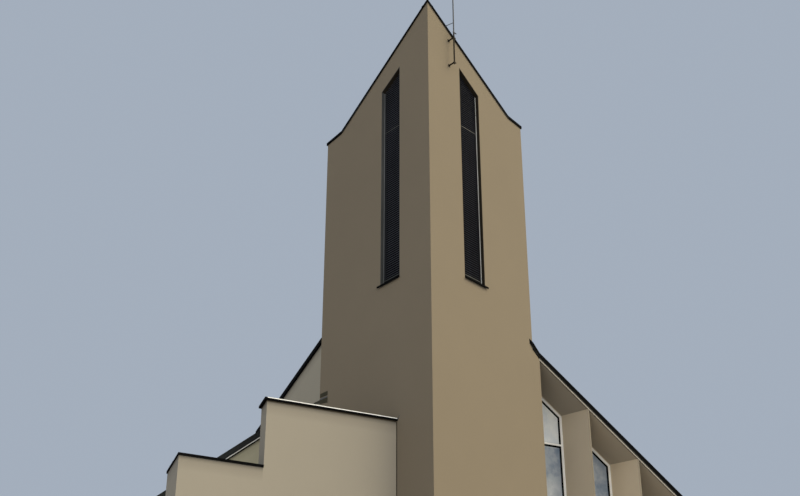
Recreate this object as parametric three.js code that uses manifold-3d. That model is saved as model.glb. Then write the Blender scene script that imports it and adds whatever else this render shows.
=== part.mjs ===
// A modern rendered church: a corner tower set askew to a broad hall under low slopes.
// Millimetres, +Z up. +Y runs along the hall from its front, +X to the right of the front.
// The origin is the middle of the underside of the hall's floor.

import * as THREE from 'three';
import { mergeVertices } from 'three/addons/utils/BufferGeometryUtils.js';
import Module from 'manifold-3d';

const wasm = await Module();
wasm.setup();

// Hall, outer sizes
const hallHalfWidth = 11280;
const frontY = -13000;
const rearY = 13000;
const leftFrontY = -5100;
const wallThickness = 450;
const recessWallThickness = 300;
const floorThickness = 200;

// Hall roof: two slopes that end at a level middle, which has a coping on its open side
const roofTopZ = 19472;
const leftRoofTopZ = 19302;
const topHalfWidth = 2260;
const roofSlope = 0.883;
const leftRoofSlope = 0.864;
const roofThickness = 132;
const leftRoofThickness = 205;
const soffitThickness = 58;
const vergeOverhang = 40;
const eavesOverhang = 320;
const centreWallX = -2215;
const centreCopingTopZ = 19470;
const copingHeight = 120;
const copingOverhang = 60;

// Gutters along the eaves and their downpipes
const gutterRadius = 75;
const gutterWall = 5;
const gutterLipDrop = 60;
const gutterSegments = 10;
const pipeRadius = 50;
const pipeOutletDrop = 200;
const pipeNeckDrop = 480;
const pipeWallGap = 20;
const pipeFromCorner = 320;

// Front bays: fins with splayed sides between tall windows
const bayCount = 6;
const recessDepth = 1000;
const finFrontWidth = 30;
const finSplay = 237;
const pierReach = 253;
const frontSillZ = 900;
const frontHeadGap = 26;
const frontPaneThickness = 60;

// Windows of the other walls
const plainHeadDrop = 180;
const glassThickness = 30;
const glassMargin = 120;
const sideWindowWidth = 900;
const sideWindowSillZ = 1200;
const sideWindowHeadZ = 8900;
const sideWindowPitch = 3000;
const rearWindowPitch = 1800;
const rearWindowPlaces = [2.5, 3.5, 4.5];

// Tower, with its own axes along the right and left faces from the front corner
const towerCorner = new THREE.Vector2(-690, -14540);
const towerTurn = THREE.MathUtils.degToRad(22.9);
const towerRightWidth = 3650;
const towerLeftWidth = 4040;
const towerWall = 350;
const towerApexZ = 28490;
const leftKink = { along: 3450, z: 25810 };
const rightKink = { along: 3135, z: 26100 };
const leftEaveZ = 25710;
const rightEaveZ = 26010;
const towerRoofThickness = 55;
const towerRoofOverhang = 25;

// Louvre slots: distance from the ridge corner, clear width, sill and sloped head
const leftSlot = { start: 1108, end: 1820, sillZ: 20050, headZ: 26800, headEndZ: 26300 };
const rightSlot = { start: 1200, end: 1938, sillZ: 20050, headZ: 26780, headEndZ: 26190 };
const louvreSetBack = 100;
const louvreThickness = 90;
const sillHeight = 45;
const sillProjection = 60;
const sillSide = 40;
const sillHold = 10;

// Lightning rod on the right face
const rodAlong = 805;
const rodRadius = 18;
const rodStandOff = 206;
const rodBottomZ = 26560;
const rodTopZ = 30800;
const rodBracketZs = [26622, 27498];
const rodBracketSize = 36;

// Stepped screen wall on the tower's left and its return
const screenFrontY = -13430;
const screenThickness = 456;
const screenLeftX = -6260;
const screenStepX = -4335;
const screenLowZ = 14520;
const screenHighZ = 16190;
const returnEndY = -12340;
const returnThickness = 350;
const screenLowCopingHeight = 60;
const screenHighCopingHeight = 95;
const screenCopingOverhang = 40;
const screenStepOverhang = 60;

// Entrance hall behind the screen
const entranceWallX = -6260;
const entranceHeight = 5200;
const entranceRoofThickness = 250;
const entranceWallThickness = 350;
const doorCentreX = -4300;
const doorWidth = 2000;
const doorHeight = 2700;
const doorThickness = 70;
const doorSetBack = 180;
const innerDoorCentreX = -3400;
const innerDoorWidth = 1500;
const innerDoorHeight = 2500;

// Clearance where a turned solid meets its neighbour
const gap = 0.3;

// Cutters run this far past the faces that they cut, or past the whole piece
const through = 400;
const beyond = 4000;

const render = { color: 0xa39678, roughness: 0.92, metalness: 0 };
const renderDark = { color: 0x8c8064, roughness: 0.92, metalness: 0 };
const creamRender = { color: 0xcfc6ac, roughness: 0.85, metalness: 0 };
const darkSheet = { color: 0x2c302e, roughness: 0.55, metalness: 0.4 };
const greySheet = { color: 0x8b8f90, roughness: 0.45, metalness: 0.6 };
const louvreSheet = { color: 0x24221f, roughness: 0.7, metalness: 0.2 };
const glazing = { color: 0x7f8a90, roughness: 0.1, metalness: 0 };
const concrete = { color: 0x9b978e, roughness: 0.9, metalness: 0 };
const timber = { color: 0x5b4330, roughness: 0.6, metalness: 0 };

const church = new THREE.Group();
const tower = new THREE.Group();
tower.position.set(towerCorner.x, towerCorner.y, 0);
tower.rotation.z = towerTurn;
church.add(tower);

// Closed geometry to solid and back

function toSolid(geometry) {
  const bare = geometry.clone();
  bare.deleteAttribute('normal');
  bare.deleteAttribute('uv');
  const merged = mergeVertices(bare, 1e-3);
  return new wasm.Manifold(new wasm.Mesh({
    numProp: 3,
    vertProperties: new Float32Array(merged.attributes.position.array),
    triVerts: new Uint32Array(merged.index.array),
  }));
}

function toGeometry(solid) {
  const mesh = solid.getMesh();
  const geometry = new THREE.BufferGeometry();
  geometry.setAttribute('position', new THREE.BufferAttribute(new Float32Array(mesh.vertProperties), 3));
  geometry.setIndex(new THREE.BufferAttribute(new Uint32Array(mesh.triVerts), 1));
  geometry.computeVertexNormals();
  return geometry;
}

function addPiece(parent, name, solid, finish) {
  const mesh = new THREE.Mesh(toGeometry(solid), new THREE.MeshStandardMaterial(finish));
  mesh.name = name;
  parent.add(mesh);
}

// Outline solids

function extrude(points, depth) {
  const shape = new THREE.Shape(points.map(([a, b]) => new THREE.Vector2(a, b)));
  return new THREE.ExtrudeGeometry(shape, { depth, bevelEnabled: false });
}

// Plan outline (x, y) raised from z0 to z1
function planSolid(points, z0, z1) {
  const geometry = extrude(points, z1 - z0);
  geometry.translate(0, 0, z0);
  return toSolid(geometry);
}

// Elevation outline (x, z) carried from y0 to y1
function elevationSolid(points, y0, y1) {
  const geometry = extrude(points, y1 - y0);
  geometry.rotateX(Math.PI / 2);
  geometry.translate(0, y1, 0);
  return toSolid(geometry);
}

function boxSolid(x0, x1, y0, y1, z0, z1) {
  const geometry = new THREE.BoxGeometry(x1 - x0, y1 - y0, z1 - z0);
  geometry.translate((x0 + x1) / 2, (y0 + y1) / 2, (z0 + z1) / 2);
  return toSolid(geometry);
}

function cylinderSolid(radius, from, to) {
  const along = new THREE.Vector3().subVectors(to, from);
  const geometry = new THREE.CylinderGeometry(radius, radius, along.length(), 12);
  const turn = new THREE.Quaternion().setFromUnitVectors(
    new THREE.Vector3(0, 1, 0), along.clone().normalize(),
  );
  geometry.applyQuaternion(turn);
  geometry.translate((from.x + to.x) / 2, (from.y + to.y) / 2, (from.z + to.z) / 2);
  return toSolid(geometry);
}

// Hall roof heights

function roofZ(x) {
  const out = Math.max(Math.abs(x) - topHalfWidth, 0);
  return x <= -topHalfWidth ? leftRoofTopZ - leftRoofSlope * out : roofTopZ - roofSlope * out;
}

// Everything above the roof's top less a drop, as a cutter over the whole hall
function aboveRoof(drop) {
  const edge = hallHalfWidth + beyond;
  return elevationSolid([
    [-edge, roofZ(-edge) - drop],
    [-topHalfWidth, leftRoofTopZ - drop],
    [-topHalfWidth, roofTopZ - drop],
    [topHalfWidth, roofTopZ - drop],
    [edge, roofZ(edge) - drop],
    [edge, roofTopZ + beyond],
    [-edge, roofTopZ + beyond],
  ], frontY - beyond, rearY + beyond);
}

// Tower footprint in the hall's axes, grown by a clearance

function towerPoint(along, out) {
  const point = new THREE.Vector2(along, out).rotateAround(new THREE.Vector2(0, 0), towerTurn);
  return point.add(towerCorner);
}

function towerFootprint(margin) {
  const corners = [
    towerPoint(-margin, -margin),
    towerPoint(towerRightWidth + margin, -margin),
    towerPoint(towerRightWidth + margin, towerLeftWidth + margin),
    towerPoint(-margin, towerLeftWidth + margin),
  ];
  return planSolid(corners.map((corner) => [corner.x, corner.y]), -beyond, towerApexZ + beyond);
}

const towerClearance = towerFootprint(gap);
const rightFootCorner = towerPoint(towerRightWidth, 0);
const rightFaceEnd = towerPoint(towerRightWidth + pierReach, 0);
const leftFootCorner = towerPoint(0, towerLeftWidth);

// Tower roof: two slopes from a level ridge over the diagonal, each with a flatter foot

const ridgeLength = Math.hypot(towerRightWidth, towerLeftWidth);
const ridgeAngle = Math.atan2(towerLeftWidth, towerRightWidth);
const eaveReach = towerRightWidth * towerLeftWidth / ridgeLength;
const leftKinkReach = leftKink.along * towerRightWidth / ridgeLength;
const rightKinkReach = rightKink.along * towerLeftWidth / ridgeLength;
const leftFootSlope = (leftKink.z - leftEaveZ) / (eaveReach - leftKinkReach);
const rightFootSlope = (rightKink.z - rightEaveZ) / (eaveReach - rightKinkReach);
const footReach = eaveReach + 2 * towerRoofOverhang;

// Roof line across the ridge, as (distance to the right of the ridge, height)
const towerRoofLine = [
  [-footReach, leftKink.z - leftFootSlope * (footReach - leftKinkReach)],
  [-leftKinkReach, leftKink.z],
  [0, towerApexZ],
  [rightKinkReach, rightKink.z],
  [footReach, rightKink.z - rightFootSlope * (footReach - rightKinkReach)],
];

// Outline across the ridge carried along it, in the tower's axes
function acrossRidge(points) {
  const geometry = extrude(points, ridgeLength + 2 * beyond);
  geometry.rotateX(Math.PI / 2);
  geometry.translate(0, ridgeLength + beyond, 0);
  geometry.rotateZ(ridgeAngle - Math.PI / 2);
  return toSolid(geometry);
}

function lowered(line, drop) {
  return line.map(([reach, z]) => [reach, z - drop]);
}

function towerRoofSlope(line) {
  const outline = [...line, ...lowered(line, towerRoofThickness).reverse()];
  const over = towerRoofOverhang;
  return acrossRidge(outline).intersect(boxSolid(
    -over, towerRightWidth + over, -over, towerLeftWidth + over, 0, towerApexZ + beyond,
  ));
}

const aboveTowerWalls = acrossRidge([
  ...lowered(towerRoofLine, towerRoofThickness + gap),
  [footReach, towerApexZ + beyond],
  [-footReach, towerApexZ + beyond],
]);

addPiece(tower, 'tower_roof_left', towerRoofSlope(towerRoofLine.slice(0, 3)), darkSheet);
addPiece(tower, 'tower_roof_right', towerRoofSlope(towerRoofLine.slice(2)), darkSheet);

// Tower walls, mitred at the corners

const outerRing = [[0, 0], [towerRightWidth, 0], [towerRightWidth, towerLeftWidth], [0, towerLeftWidth]];
const innerRing = [
  [towerWall, towerWall],
  [towerRightWidth - towerWall, towerWall],
  [towerRightWidth - towerWall, towerLeftWidth - towerWall],
  [towerWall, towerLeftWidth - towerWall],
];

function ringWall(index) {
  const next = (index + 1) % outerRing.length;
  const corners = [outerRing[index], outerRing[next], innerRing[next], innerRing[index]];
  const along = new THREE.Vector2(...outerRing[next]).sub(new THREE.Vector2(...outerRing[index])).normalize();
  const shift = [gap / 2, -gap / 2, -gap / 2, gap / 2];
  const outline = corners.map(([x, y], place) => [x + along.x * shift[place], y + along.y * shift[place]]);
  return planSolid(outline, 0, towerApexZ + beyond).subtract(aboveTowerWalls);
}

// A slot outline seen on a face, as (distance from the ridge corner, height), grown by a margin
function slotOutline(slot, margin) {
  return [
    [slot.start - margin, slot.sillZ - margin],
    [slot.end + margin, slot.sillZ - margin],
    [slot.end + margin, slot.headEndZ + margin],
    [slot.start - margin, slot.headZ + margin],
  ];
}

// Louvre panel with its sill, standing on the face y = 0 and running along +x
function louvreSolid(slot) {
  const panel = elevationSolid(slotOutline(slot, -gap), louvreSetBack, louvreSetBack + louvreThickness);
  const reachSill = boxSolid(
    slot.start + gap, slot.end - gap, -sillProjection, louvreSetBack + sillHold,
    slot.sillZ + gap, slot.sillZ + sillHeight,
  );
  const noseSill = boxSolid(
    slot.start - sillSide, slot.end + sillSide, -sillProjection, -gap,
    slot.sillZ + gap, slot.sillZ + sillHeight,
  );
  return panel.add(reachSill).add(noseSill);
}

// The four faces: the front two, and the rear two that repeat them turned half round

function placeOnFace(solid, turned, mirrored) {
  let placed = solid;
  if (mirrored) {
    placed = placed.mirror([1, -1, 0]);
  }
  if (turned) {
    placed = placed.rotate([0, 0, 180]).translate([towerRightWidth, towerLeftWidth, 0]);
  }
  return placed;
}

const faces = [
  { name: 'right', ring: 0, slot: rightSlot, turned: false, mirrored: false },
  { name: 'rear_right', ring: 1, slot: rearSlot(leftSlot, rightSlot), turned: true, mirrored: true },
  { name: 'rear_left', ring: 2, slot: rearSlot(rightSlot, leftSlot), turned: true, mirrored: false },
  { name: 'left', ring: 3, slot: leftSlot, turned: false, mirrored: true },
];

// A rear slot keeps the place of the face it repeats and the head of the slope above it
function rearSlot(place, head) {
  return { ...place, headZ: head.headZ, headEndZ: head.headEndZ };
}

for (const face of faces) {
  const cutter = elevationSolid(slotOutline(face.slot, 0), -through, towerWall + through);
  const wall = ringWall(face.ring).subtract(placeOnFace(cutter, face.turned, face.mirrored));
  addPiece(tower, `tower_wall_${face.name}`, wall, face.mirrored ? renderDark : render);
  const louvre = placeOnFace(louvreSolid(face.slot), face.turned, face.mirrored);
  addPiece(tower, `louvre_${face.name}`, louvre, louvreSheet);
}

// Lightning rod with its two wall brackets

function rodSolid() {
  const foot = new THREE.Vector3(rodAlong, -rodStandOff, rodBottomZ);
  const tip = new THREE.Vector3(rodAlong, -rodStandOff, rodTopZ);
  let rod = cylinderSolid(rodRadius, foot, tip);
  for (const z of rodBracketZs) {
    rod = rod.add(boxSolid(
      rodAlong - rodBracketSize / 2, rodAlong + rodBracketSize / 2, -rodStandOff, -gap,
      z - rodBracketSize / 2, z + rodBracketSize / 2,
    ));
  }
  return rod;
}

addPiece(tower, 'lightning_rod', rodSolid(), greySheet);

// Hall roof plates

function roofPlate(x0, x1, y0, y1, drop, thickness) {
  const plate = elevationSolid([
    [x0, roofZ(x0) - drop],
    [x1, roofZ(x1) - drop],
    [x1, roofZ(x1) - drop - thickness],
    [x0, roofZ(x0) - drop - thickness],
  ], y0, y1);
  return plate.subtract(towerClearance);
}

const eavesX = hallHalfWidth + eavesOverhang;
const innerX = hallHalfWidth - wallThickness;

// Plan of the right slope: its verge follows the tower's face over the pier, then the front
const rightRoofPlan = planSolid([
  [topHalfWidth, rightFootCorner.y - vergeOverhang],
  [rightFootCorner.x, rightFootCorner.y - vergeOverhang],
  [rightFaceEnd.x, frontY - vergeOverhang],
  [eavesX, frontY - vergeOverhang],
  [eavesX, rearY + vergeOverhang],
  [topHalfWidth, rearY + vergeOverhang],
], 0, roofTopZ + beyond);
const rightRoof = roofPlate(topHalfWidth, eavesX, frontY - beyond, rearY + beyond, 0, roofThickness)
  .intersect(rightRoofPlan);

addPiece(church, 'roof_right', rightRoof, darkSheet);
addPiece(
  church, 'roof_left',
  roofPlate(-eavesX, -topHalfWidth, leftFrontY - vergeOverhang, rearY + vergeOverhang, 0, leftRoofThickness),
  darkSheet,
);

// Level middle of the roof, inside the centre wall as far as the left slope begins
const flatTopZ = centreCopingTopZ - copingHeight;
const flatUndersideZ = flatTopZ - roofThickness;
const centreWallInnerX = centreWallX + wallThickness;
const leftFrontInnerY = leftFrontY + wallThickness;
addPiece(
  church, 'roof_top',
  planSolid([
    [centreWallInnerX, leftFootCorner.y],
    [0, leftFootCorner.y],
    [0, rightFootCorner.y],
    [topHalfWidth, rightFootCorner.y],
    [topHalfWidth, rearY + vergeOverhang],
    [-topHalfWidth, rearY + vergeOverhang],
    [-topHalfWidth, leftFrontInnerY],
    [centreWallInnerX, leftFrontInnerY],
  ], flatUndersideZ, flatTopZ).subtract(towerClearance),
  darkSheet,
);

// Half-round gutters under both eaves, open at the top

function gutterOutline(side) {
  const centre = { x: eavesX + gutterRadius, z: roofZ(side * eavesX) - gutterLipDrop };
  const arc = (radius) => Array.from({ length: gutterSegments + 1 }, (_, step) => {
    const angle = Math.PI * (1 + step / gutterSegments);
    return [side * (centre.x + radius * Math.cos(angle)), centre.z + radius * Math.sin(angle)];
  });
  const outline = [...arc(gutterRadius), ...arc(gutterRadius - gutterWall).reverse()];
  return side > 0 ? outline : outline.reverse();
}

// Downpipe: an outlet under the gutter, a neck back to the wall and a straight pipe to the ground
function downpipeSolid(side, y) {
  const outletX = side * (eavesX + gutterRadius);
  const wallX = side * (hallHalfWidth + pipeWallGap + pipeRadius);
  const topZ = roofZ(side * eavesX) - gutterLipDrop - gutterRadius - gap;
  const route = [
    new THREE.Vector3(outletX, y, topZ),
    new THREE.Vector3(outletX, y, topZ - pipeOutletDrop),
    new THREE.Vector3(wallX, y, topZ - pipeOutletDrop - pipeNeckDrop),
    new THREE.Vector3(wallX, y, 0),
  ];
  let pipe = cylinderSolid(pipeRadius, route[0], route[1]);
  for (let step = 1; step < route.length - 1; step += 1) {
    const elbow = new THREE.SphereGeometry(pipeRadius, 12, 8);
    elbow.translate(route[step].x, route[step].y, route[step].z);
    pipe = pipe.add(toSolid(elbow)).add(cylinderSolid(pipeRadius, route[step], route[step + 1]));
  }
  return pipe;
}

const sides = [
  { name: 'right', side: 1, startY: frontY },
  { name: 'left', side: -1, startY: leftFrontY },
];
for (const { name, side, startY } of sides) {
  addPiece(
    church, `gutter_${name}`,
    elevationSolid(gutterOutline(side), startY - vergeOverhang, rearY + vergeOverhang),
    greySheet,
  );
  addPiece(church, `downpipe_${name}_front`, downpipeSolid(side, startY + pipeFromCorner), greySheet);
  addPiece(church, `downpipe_${name}_rear`, downpipeSolid(side, rearY - pipeFromCorner), greySheet);
}

// Soffit over the front bays
const recessBackY = frontY + recessDepth;
addPiece(
  church, 'soffit_front',
  roofPlate(rightFaceEnd.x, innerX, frontY, recessBackY, roofThickness + gap, soffitThickness - gap),
  creamRender,
);

// Walls of the hall

const roofUnderside = aboveRoof(roofThickness + gap);
const flatRoofUnderside = boxSolid(
  -topHalfWidth, topHalfWidth, frontY - beyond, rearY + beyond, flatUndersideZ, roofTopZ + beyond,
);
const leftRoofUnderside = elevationSolid([
  [-eavesX - beyond, roofZ(-eavesX - beyond) - leftRoofThickness - gap],
  [-topHalfWidth, leftRoofTopZ - leftRoofThickness - gap],
  [-topHalfWidth, roofTopZ + beyond],
  [-eavesX - beyond, roofTopZ + beyond],
], frontY - beyond, rearY + beyond);
const soffitUnderside = aboveRoof(roofThickness + soffitThickness + gap);
const bayPitch = (innerX - rightFaceEnd.x) / bayCount;

function wallUnderRoof(points) {
  return planSolid(points, 0, roofTopZ + through)
    .subtract(roofUnderside)
    .subtract(leftRoofUnderside)
    .subtract(flatRoofUnderside)
    .subtract(towerClearance);
}

function sideWindowCentres(y0, y1) {
  const count = Math.floor((y1 - y0) / sideWindowPitch);
  const first = (y0 + y1) / 2 - (count - 1) * sideWindowPitch / 2;
  return Array.from({ length: count }, (_, index) => first + index * sideWindowPitch);
}

function sideWall(side, y0) {
  const outer = side * hallHalfWidth;
  const inner = side * innerX;
  let wall = wallUnderRoof([[inner, y0], [outer, y0], [outer, rearY], [inner, rearY]]);
  for (const y of sideWindowCentres(y0, rearY)) {
    wall = wall.subtract(boxSolid(
      Math.min(inner, outer) - through, Math.max(inner, outer) + through,
      y - sideWindowWidth / 2, y + sideWindowWidth / 2, sideWindowSillZ, sideWindowHeadZ,
    ));
  }
  return wall;
}

function sideGlass(side, y0) {
  const centres = sideWindowCentres(y0, rearY);
  const reach = sideWindowWidth / 2 + glassMargin;
  const near = side * innerX;
  const far = side * (innerX - glassThickness);
  return boxSolid(
    Math.min(near, far), Math.max(near, far), centres[0] - reach, centres[centres.length - 1] + reach,
    sideWindowSillZ - glassMargin, sideWindowHeadZ + glassMargin,
  );
}

addPiece(church, 'side_wall_right', sideWall(1, frontY), render);
addPiece(church, 'side_wall_left', sideWall(-1, leftFrontY), renderDark);
addPiece(church, 'glass_side_right', sideGlass(1, frontY), glazing);
addPiece(church, 'glass_side_left', sideGlass(-1, leftFrontY), glazing);

// A gable window with its head parallel to the roof, close under the soffit or lower in a plain wall
const frontHeadDrop = roofThickness + soffitThickness + frontHeadGap;
const headDrop = leftRoofThickness + plainHeadDrop;

function gableWindow(x0, x1, sillZ, drop, margin, y0, y1) {
  return elevationSolid([
    [x0 - margin, sillZ - margin],
    [x1 + margin, sillZ - margin],
    [x1 + margin, roofZ(x1 + margin) - drop + margin],
    [x0 - margin, roofZ(x0 - margin) - drop + margin],
  ], y0, y1);
}

// Front right: a set-back wall, fins in front of it and a window in every bay
const recessWallY = recessBackY + recessWallThickness;
const finBackHalf = finFrontWidth / 2 + finSplay;
const insideTowerX = rightFootCorner.x - recessDepth;
let recessWall = wallUnderRoof([
  [insideTowerX, recessBackY], [innerX, recessBackY], [innerX, recessWallY], [insideTowerX, recessWallY],
]);

for (let bay = 0; bay < bayCount; bay += 1) {
  const start = rightFaceEnd.x + bay * bayPitch + finBackHalf;
  const end = rightFaceEnd.x + (bay + 1) * bayPitch - finBackHalf;
  recessWall = recessWall.subtract(gableWindow(
    start, end, frontSillZ, frontHeadDrop, 0, recessBackY - through, recessWallY + through,
  ));
  const pane = gableWindow(
    start, end, frontSillZ, frontHeadDrop, -gap, recessBackY, recessBackY + frontPaneThickness,
  );
  addPiece(church, `window_front_${bay + 1}`, pane, glazing);
}
addPiece(church, 'front_wall_right', recessWall, render);

for (let fin = 1; fin < bayCount; fin += 1) {
  const x = rightFaceEnd.x + fin * bayPitch;
  const outline = [
    [x - finFrontWidth / 2, frontY],
    [x + finFrontWidth / 2, frontY],
    [x + finBackHalf, recessBackY],
    [x - finBackHalf, recessBackY],
  ];
  addPiece(church, `fin_${fin}`, planSolid(outline, 0, roofTopZ).subtract(soffitUnderside), render);
}
addPiece(
  church, `fin_${bayCount}`,
  planSolid([
    [innerX - finFrontWidth / 2, frontY],
    [innerX, frontY],
    [innerX, recessBackY],
    [innerX - finBackHalf, recessBackY],
  ], 0, roofTopZ).subtract(soffitUnderside),
  render,
);

// Corner pier that carries the tower's right face on to the first bay
addPiece(
  church, 'corner_pier',
  planSolid([
    [rightFootCorner.x, rightFootCorner.y],
    [rightFaceEnd.x, rightFaceEnd.y],
    [rightFaceEnd.x, frontY],
    [rightFaceEnd.x + finBackHalf, recessBackY],
    [insideTowerX, recessBackY],
  ], 0, roofTopZ).subtract(soffitUnderside).subtract(flatRoofUnderside).subtract(towerClearance),
  render,
);

// Front left: a plain wall set far back, with windows under the slope
const leftWindowWidth = bayPitch - 2 * finBackHalf;
let leftFrontWall = wallUnderRoof([
  [-innerX, leftFrontY], [-topHalfWidth, leftFrontY],
  [-topHalfWidth, leftFrontInnerY], [-innerX, leftFrontInnerY],
]);
for (let bay = 1; bay < bayCount; bay += 1) {
  const centre = -(rightFaceEnd.x + (bay + 0.5) * bayPitch);
  const sillZ = centre > entranceWallX ? entranceHeight + entranceRoofThickness + frontSillZ : frontSillZ;
  leftFrontWall = leftFrontWall.subtract(gableWindow(
    centre - leftWindowWidth / 2, centre + leftWindowWidth / 2, sillZ, headDrop, 0,
    leftFrontY - through, leftFrontInnerY + through,
  ));
}
leftFrontWall = leftFrontWall.subtract(boxSolid(
  innerDoorCentreX - innerDoorWidth / 2, innerDoorCentreX + innerDoorWidth / 2,
  leftFrontY - through, leftFrontInnerY + through, floorThickness, innerDoorHeight,
));
addPiece(church, 'front_wall_left', leftFrontWall, render);
const leftGlassX0 = -(rightFaceEnd.x + (bayCount - 0.5) * bayPitch) - leftWindowWidth / 2;
const leftGlassX1 = -(rightFaceEnd.x + 1.5 * bayPitch) + leftWindowWidth / 2;
addPiece(
  church, 'glass_front_left',
  gableWindow(
    leftGlassX0, leftGlassX1, frontSillZ, headDrop, glassMargin,
    leftFrontInnerY, leftFrontInnerY + glassThickness,
  ),
  glazing,
);

// Wall beside the tower, running back from its left corner to the left front wall
addPiece(
  church, 'centre_wall',
  planSolid([
    [centreWallX, leftFootCorner.y],
    [centreWallInnerX, leftFootCorner.y],
    [centreWallInnerX, leftFrontInnerY],
    [-topHalfWidth, leftFrontInnerY],
    [-topHalfWidth, leftFrontY],
    [centreWallX, leftFrontY],
  ], 0, flatTopZ).subtract(towerClearance),
  renderDark,
);

// Rear wall with windows under both slopes
let rearWall = wallUnderRoof([
  [-innerX, rearY - wallThickness], [innerX, rearY - wallThickness], [innerX, rearY], [-innerX, rearY],
]);
const rearGlassStart = rearWindowPlaces[0] * rearWindowPitch - leftWindowWidth / 2;
const rearGlassEnd = rearWindowPlaces[rearWindowPlaces.length - 1] * rearWindowPitch + leftWindowWidth / 2;
for (const side of [-1, 1]) {
  for (const place of rearWindowPlaces) {
    const centre = side * place * rearWindowPitch;
    rearWall = rearWall.subtract(gableWindow(
      centre - leftWindowWidth / 2, centre + leftWindowWidth / 2, frontSillZ, headDrop, 0,
      rearY - wallThickness - through, rearY + through,
    ));
  }
  addPiece(
    church, side < 0 ? 'glass_rear_left' : 'glass_rear_right',
    gableWindow(
      Math.min(side * rearGlassStart, side * rearGlassEnd),
      Math.max(side * rearGlassStart, side * rearGlassEnd),
      frontSillZ, headDrop, glassMargin, rearY - wallThickness - glassThickness, rearY - wallThickness,
    ),
    glazing,
  );
}
addPiece(church, 'rear_wall', rearWall, render);

// Coping of the centre wall
addPiece(
  church, 'coping_centre',
  boxSolid(
    centreWallX - copingOverhang, centreWallInnerX, leftFootCorner.y, leftFrontInnerY,
    flatTopZ, centreCopingTopZ,
  ).subtract(towerClearance),
  darkSheet,
);

// Floor inside the walls
addPiece(
  church, 'floor',
  planSolid([
    [-innerX, leftFrontInnerY],
    [centreWallInnerX, leftFrontInnerY],
    [centreWallInnerX, recessWallY],
    [innerX, recessWallY],
    [innerX, rearY - wallThickness],
    [-innerX, rearY - wallThickness],
  ], 0, floorThickness).subtract(towerClearance),
  concrete,
);

// Screen wall beside the tower, stepped, with the entrance cut through
const screenTopLow = screenLowZ - screenLowCopingHeight;
const screenTopHigh = screenHighZ - screenHighCopingHeight;
const screenBackY = screenFrontY + screenThickness;

// The tower and all that lies behind its front corner, which the screen ends against
const towerSide = towerClearance.add(boxSolid(
  towerCorner.x, beyond, frontY - beyond, rearY, -through, towerApexZ,
));

const screenWall = elevationSolid([
  [screenLeftX, 0],
  [towerCorner.x, 0],
  [towerCorner.x, screenTopHigh],
  [screenStepX, screenTopHigh],
  [screenStepX, screenTopLow],
  [screenLeftX, screenTopLow],
], screenFrontY, screenBackY)
  .subtract(towerSide)
  .subtract(boxSolid(
    doorCentreX - doorWidth / 2, doorCentreX + doorWidth / 2,
    screenFrontY - through, screenBackY + through, floorThickness, doorHeight,
  ));
addPiece(church, 'screen_wall', screenWall, render);
addPiece(
  church, 'screen_return',
  boxSolid(screenLeftX, screenLeftX + returnThickness, screenBackY, returnEndY, 0, screenTopLow),
  render,
);

const over = screenCopingOverhang;
addPiece(
  church, 'coping_high',
  boxSolid(
    screenStepX - screenStepOverhang, towerCorner.x, screenFrontY - over, screenBackY + over,
    screenTopHigh, screenHighZ,
  ).subtract(towerSide),
  darkSheet,
);
addPiece(
  church, 'coping_low',
  boxSolid(
    screenLeftX - over, screenStepX, screenFrontY - over, screenBackY + over, screenTopLow, screenLowZ,
  ).add(boxSolid(
    screenLeftX - over, screenLeftX + returnThickness + over, screenBackY, returnEndY + over,
    screenTopLow, screenLowZ,
  )),
  darkSheet,
);

// Entrance hall: one long wall, the left front wall behind it and a flat roof
addPiece(
  church, 'entrance_wall',
  boxSolid(entranceWallX, entranceWallX + entranceWallThickness, returnEndY, leftFrontY, 0, entranceHeight),
  render,
);
addPiece(
  church, 'entrance_roof',
  planSolid([
    [entranceWallX, returnEndY],
    [entranceWallX + returnThickness, returnEndY],
    [entranceWallX + returnThickness, screenBackY],
    [towerCorner.x, screenBackY],
    [towerCorner.x, leftFootCorner.y],
    [centreWallX, leftFootCorner.y],
    [centreWallX, leftFrontY],
    [entranceWallX, leftFrontY],
  ], entranceHeight, entranceHeight + entranceRoofThickness).subtract(towerSide),
  darkSheet,
);
addPiece(
  church, 'entrance_floor',
  planSolid([
    [entranceWallX + entranceWallThickness, screenBackY],
    [towerCorner.x, screenBackY],
    [towerCorner.x, leftFootCorner.y],
    [centreWallX, leftFootCorner.y],
    [centreWallX, leftFrontY],
    [entranceWallX + entranceWallThickness, leftFrontY],
  ], 0, floorThickness).subtract(towerSide),
  concrete,
);
addPiece(
  church, 'entrance_doors',
  boxSolid(
    doorCentreX - doorWidth / 2, doorCentreX + doorWidth / 2,
    screenFrontY + doorSetBack, screenFrontY + doorSetBack + doorThickness, floorThickness, doorHeight,
  ),
  timber,
);

export default church;
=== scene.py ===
# A modern rendered church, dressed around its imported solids. Metres, +Z up.
# +Y runs along the hall from its front and +X to the right of the front.

import math

import bmesh
import bpy
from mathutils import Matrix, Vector


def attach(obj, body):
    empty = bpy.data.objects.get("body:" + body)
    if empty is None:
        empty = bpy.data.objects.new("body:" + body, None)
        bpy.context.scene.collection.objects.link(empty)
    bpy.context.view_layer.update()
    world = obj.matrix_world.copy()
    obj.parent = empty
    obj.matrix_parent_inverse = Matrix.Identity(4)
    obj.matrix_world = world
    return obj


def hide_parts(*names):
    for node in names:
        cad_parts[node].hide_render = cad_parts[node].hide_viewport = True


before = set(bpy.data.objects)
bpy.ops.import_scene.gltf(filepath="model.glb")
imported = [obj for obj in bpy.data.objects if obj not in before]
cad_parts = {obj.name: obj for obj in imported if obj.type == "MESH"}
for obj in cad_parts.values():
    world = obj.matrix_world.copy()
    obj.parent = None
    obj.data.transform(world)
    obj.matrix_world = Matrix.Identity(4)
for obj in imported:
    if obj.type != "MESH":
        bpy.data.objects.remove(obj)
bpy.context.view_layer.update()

UP = Vector((0.0, 0.0, 1.0))
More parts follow.
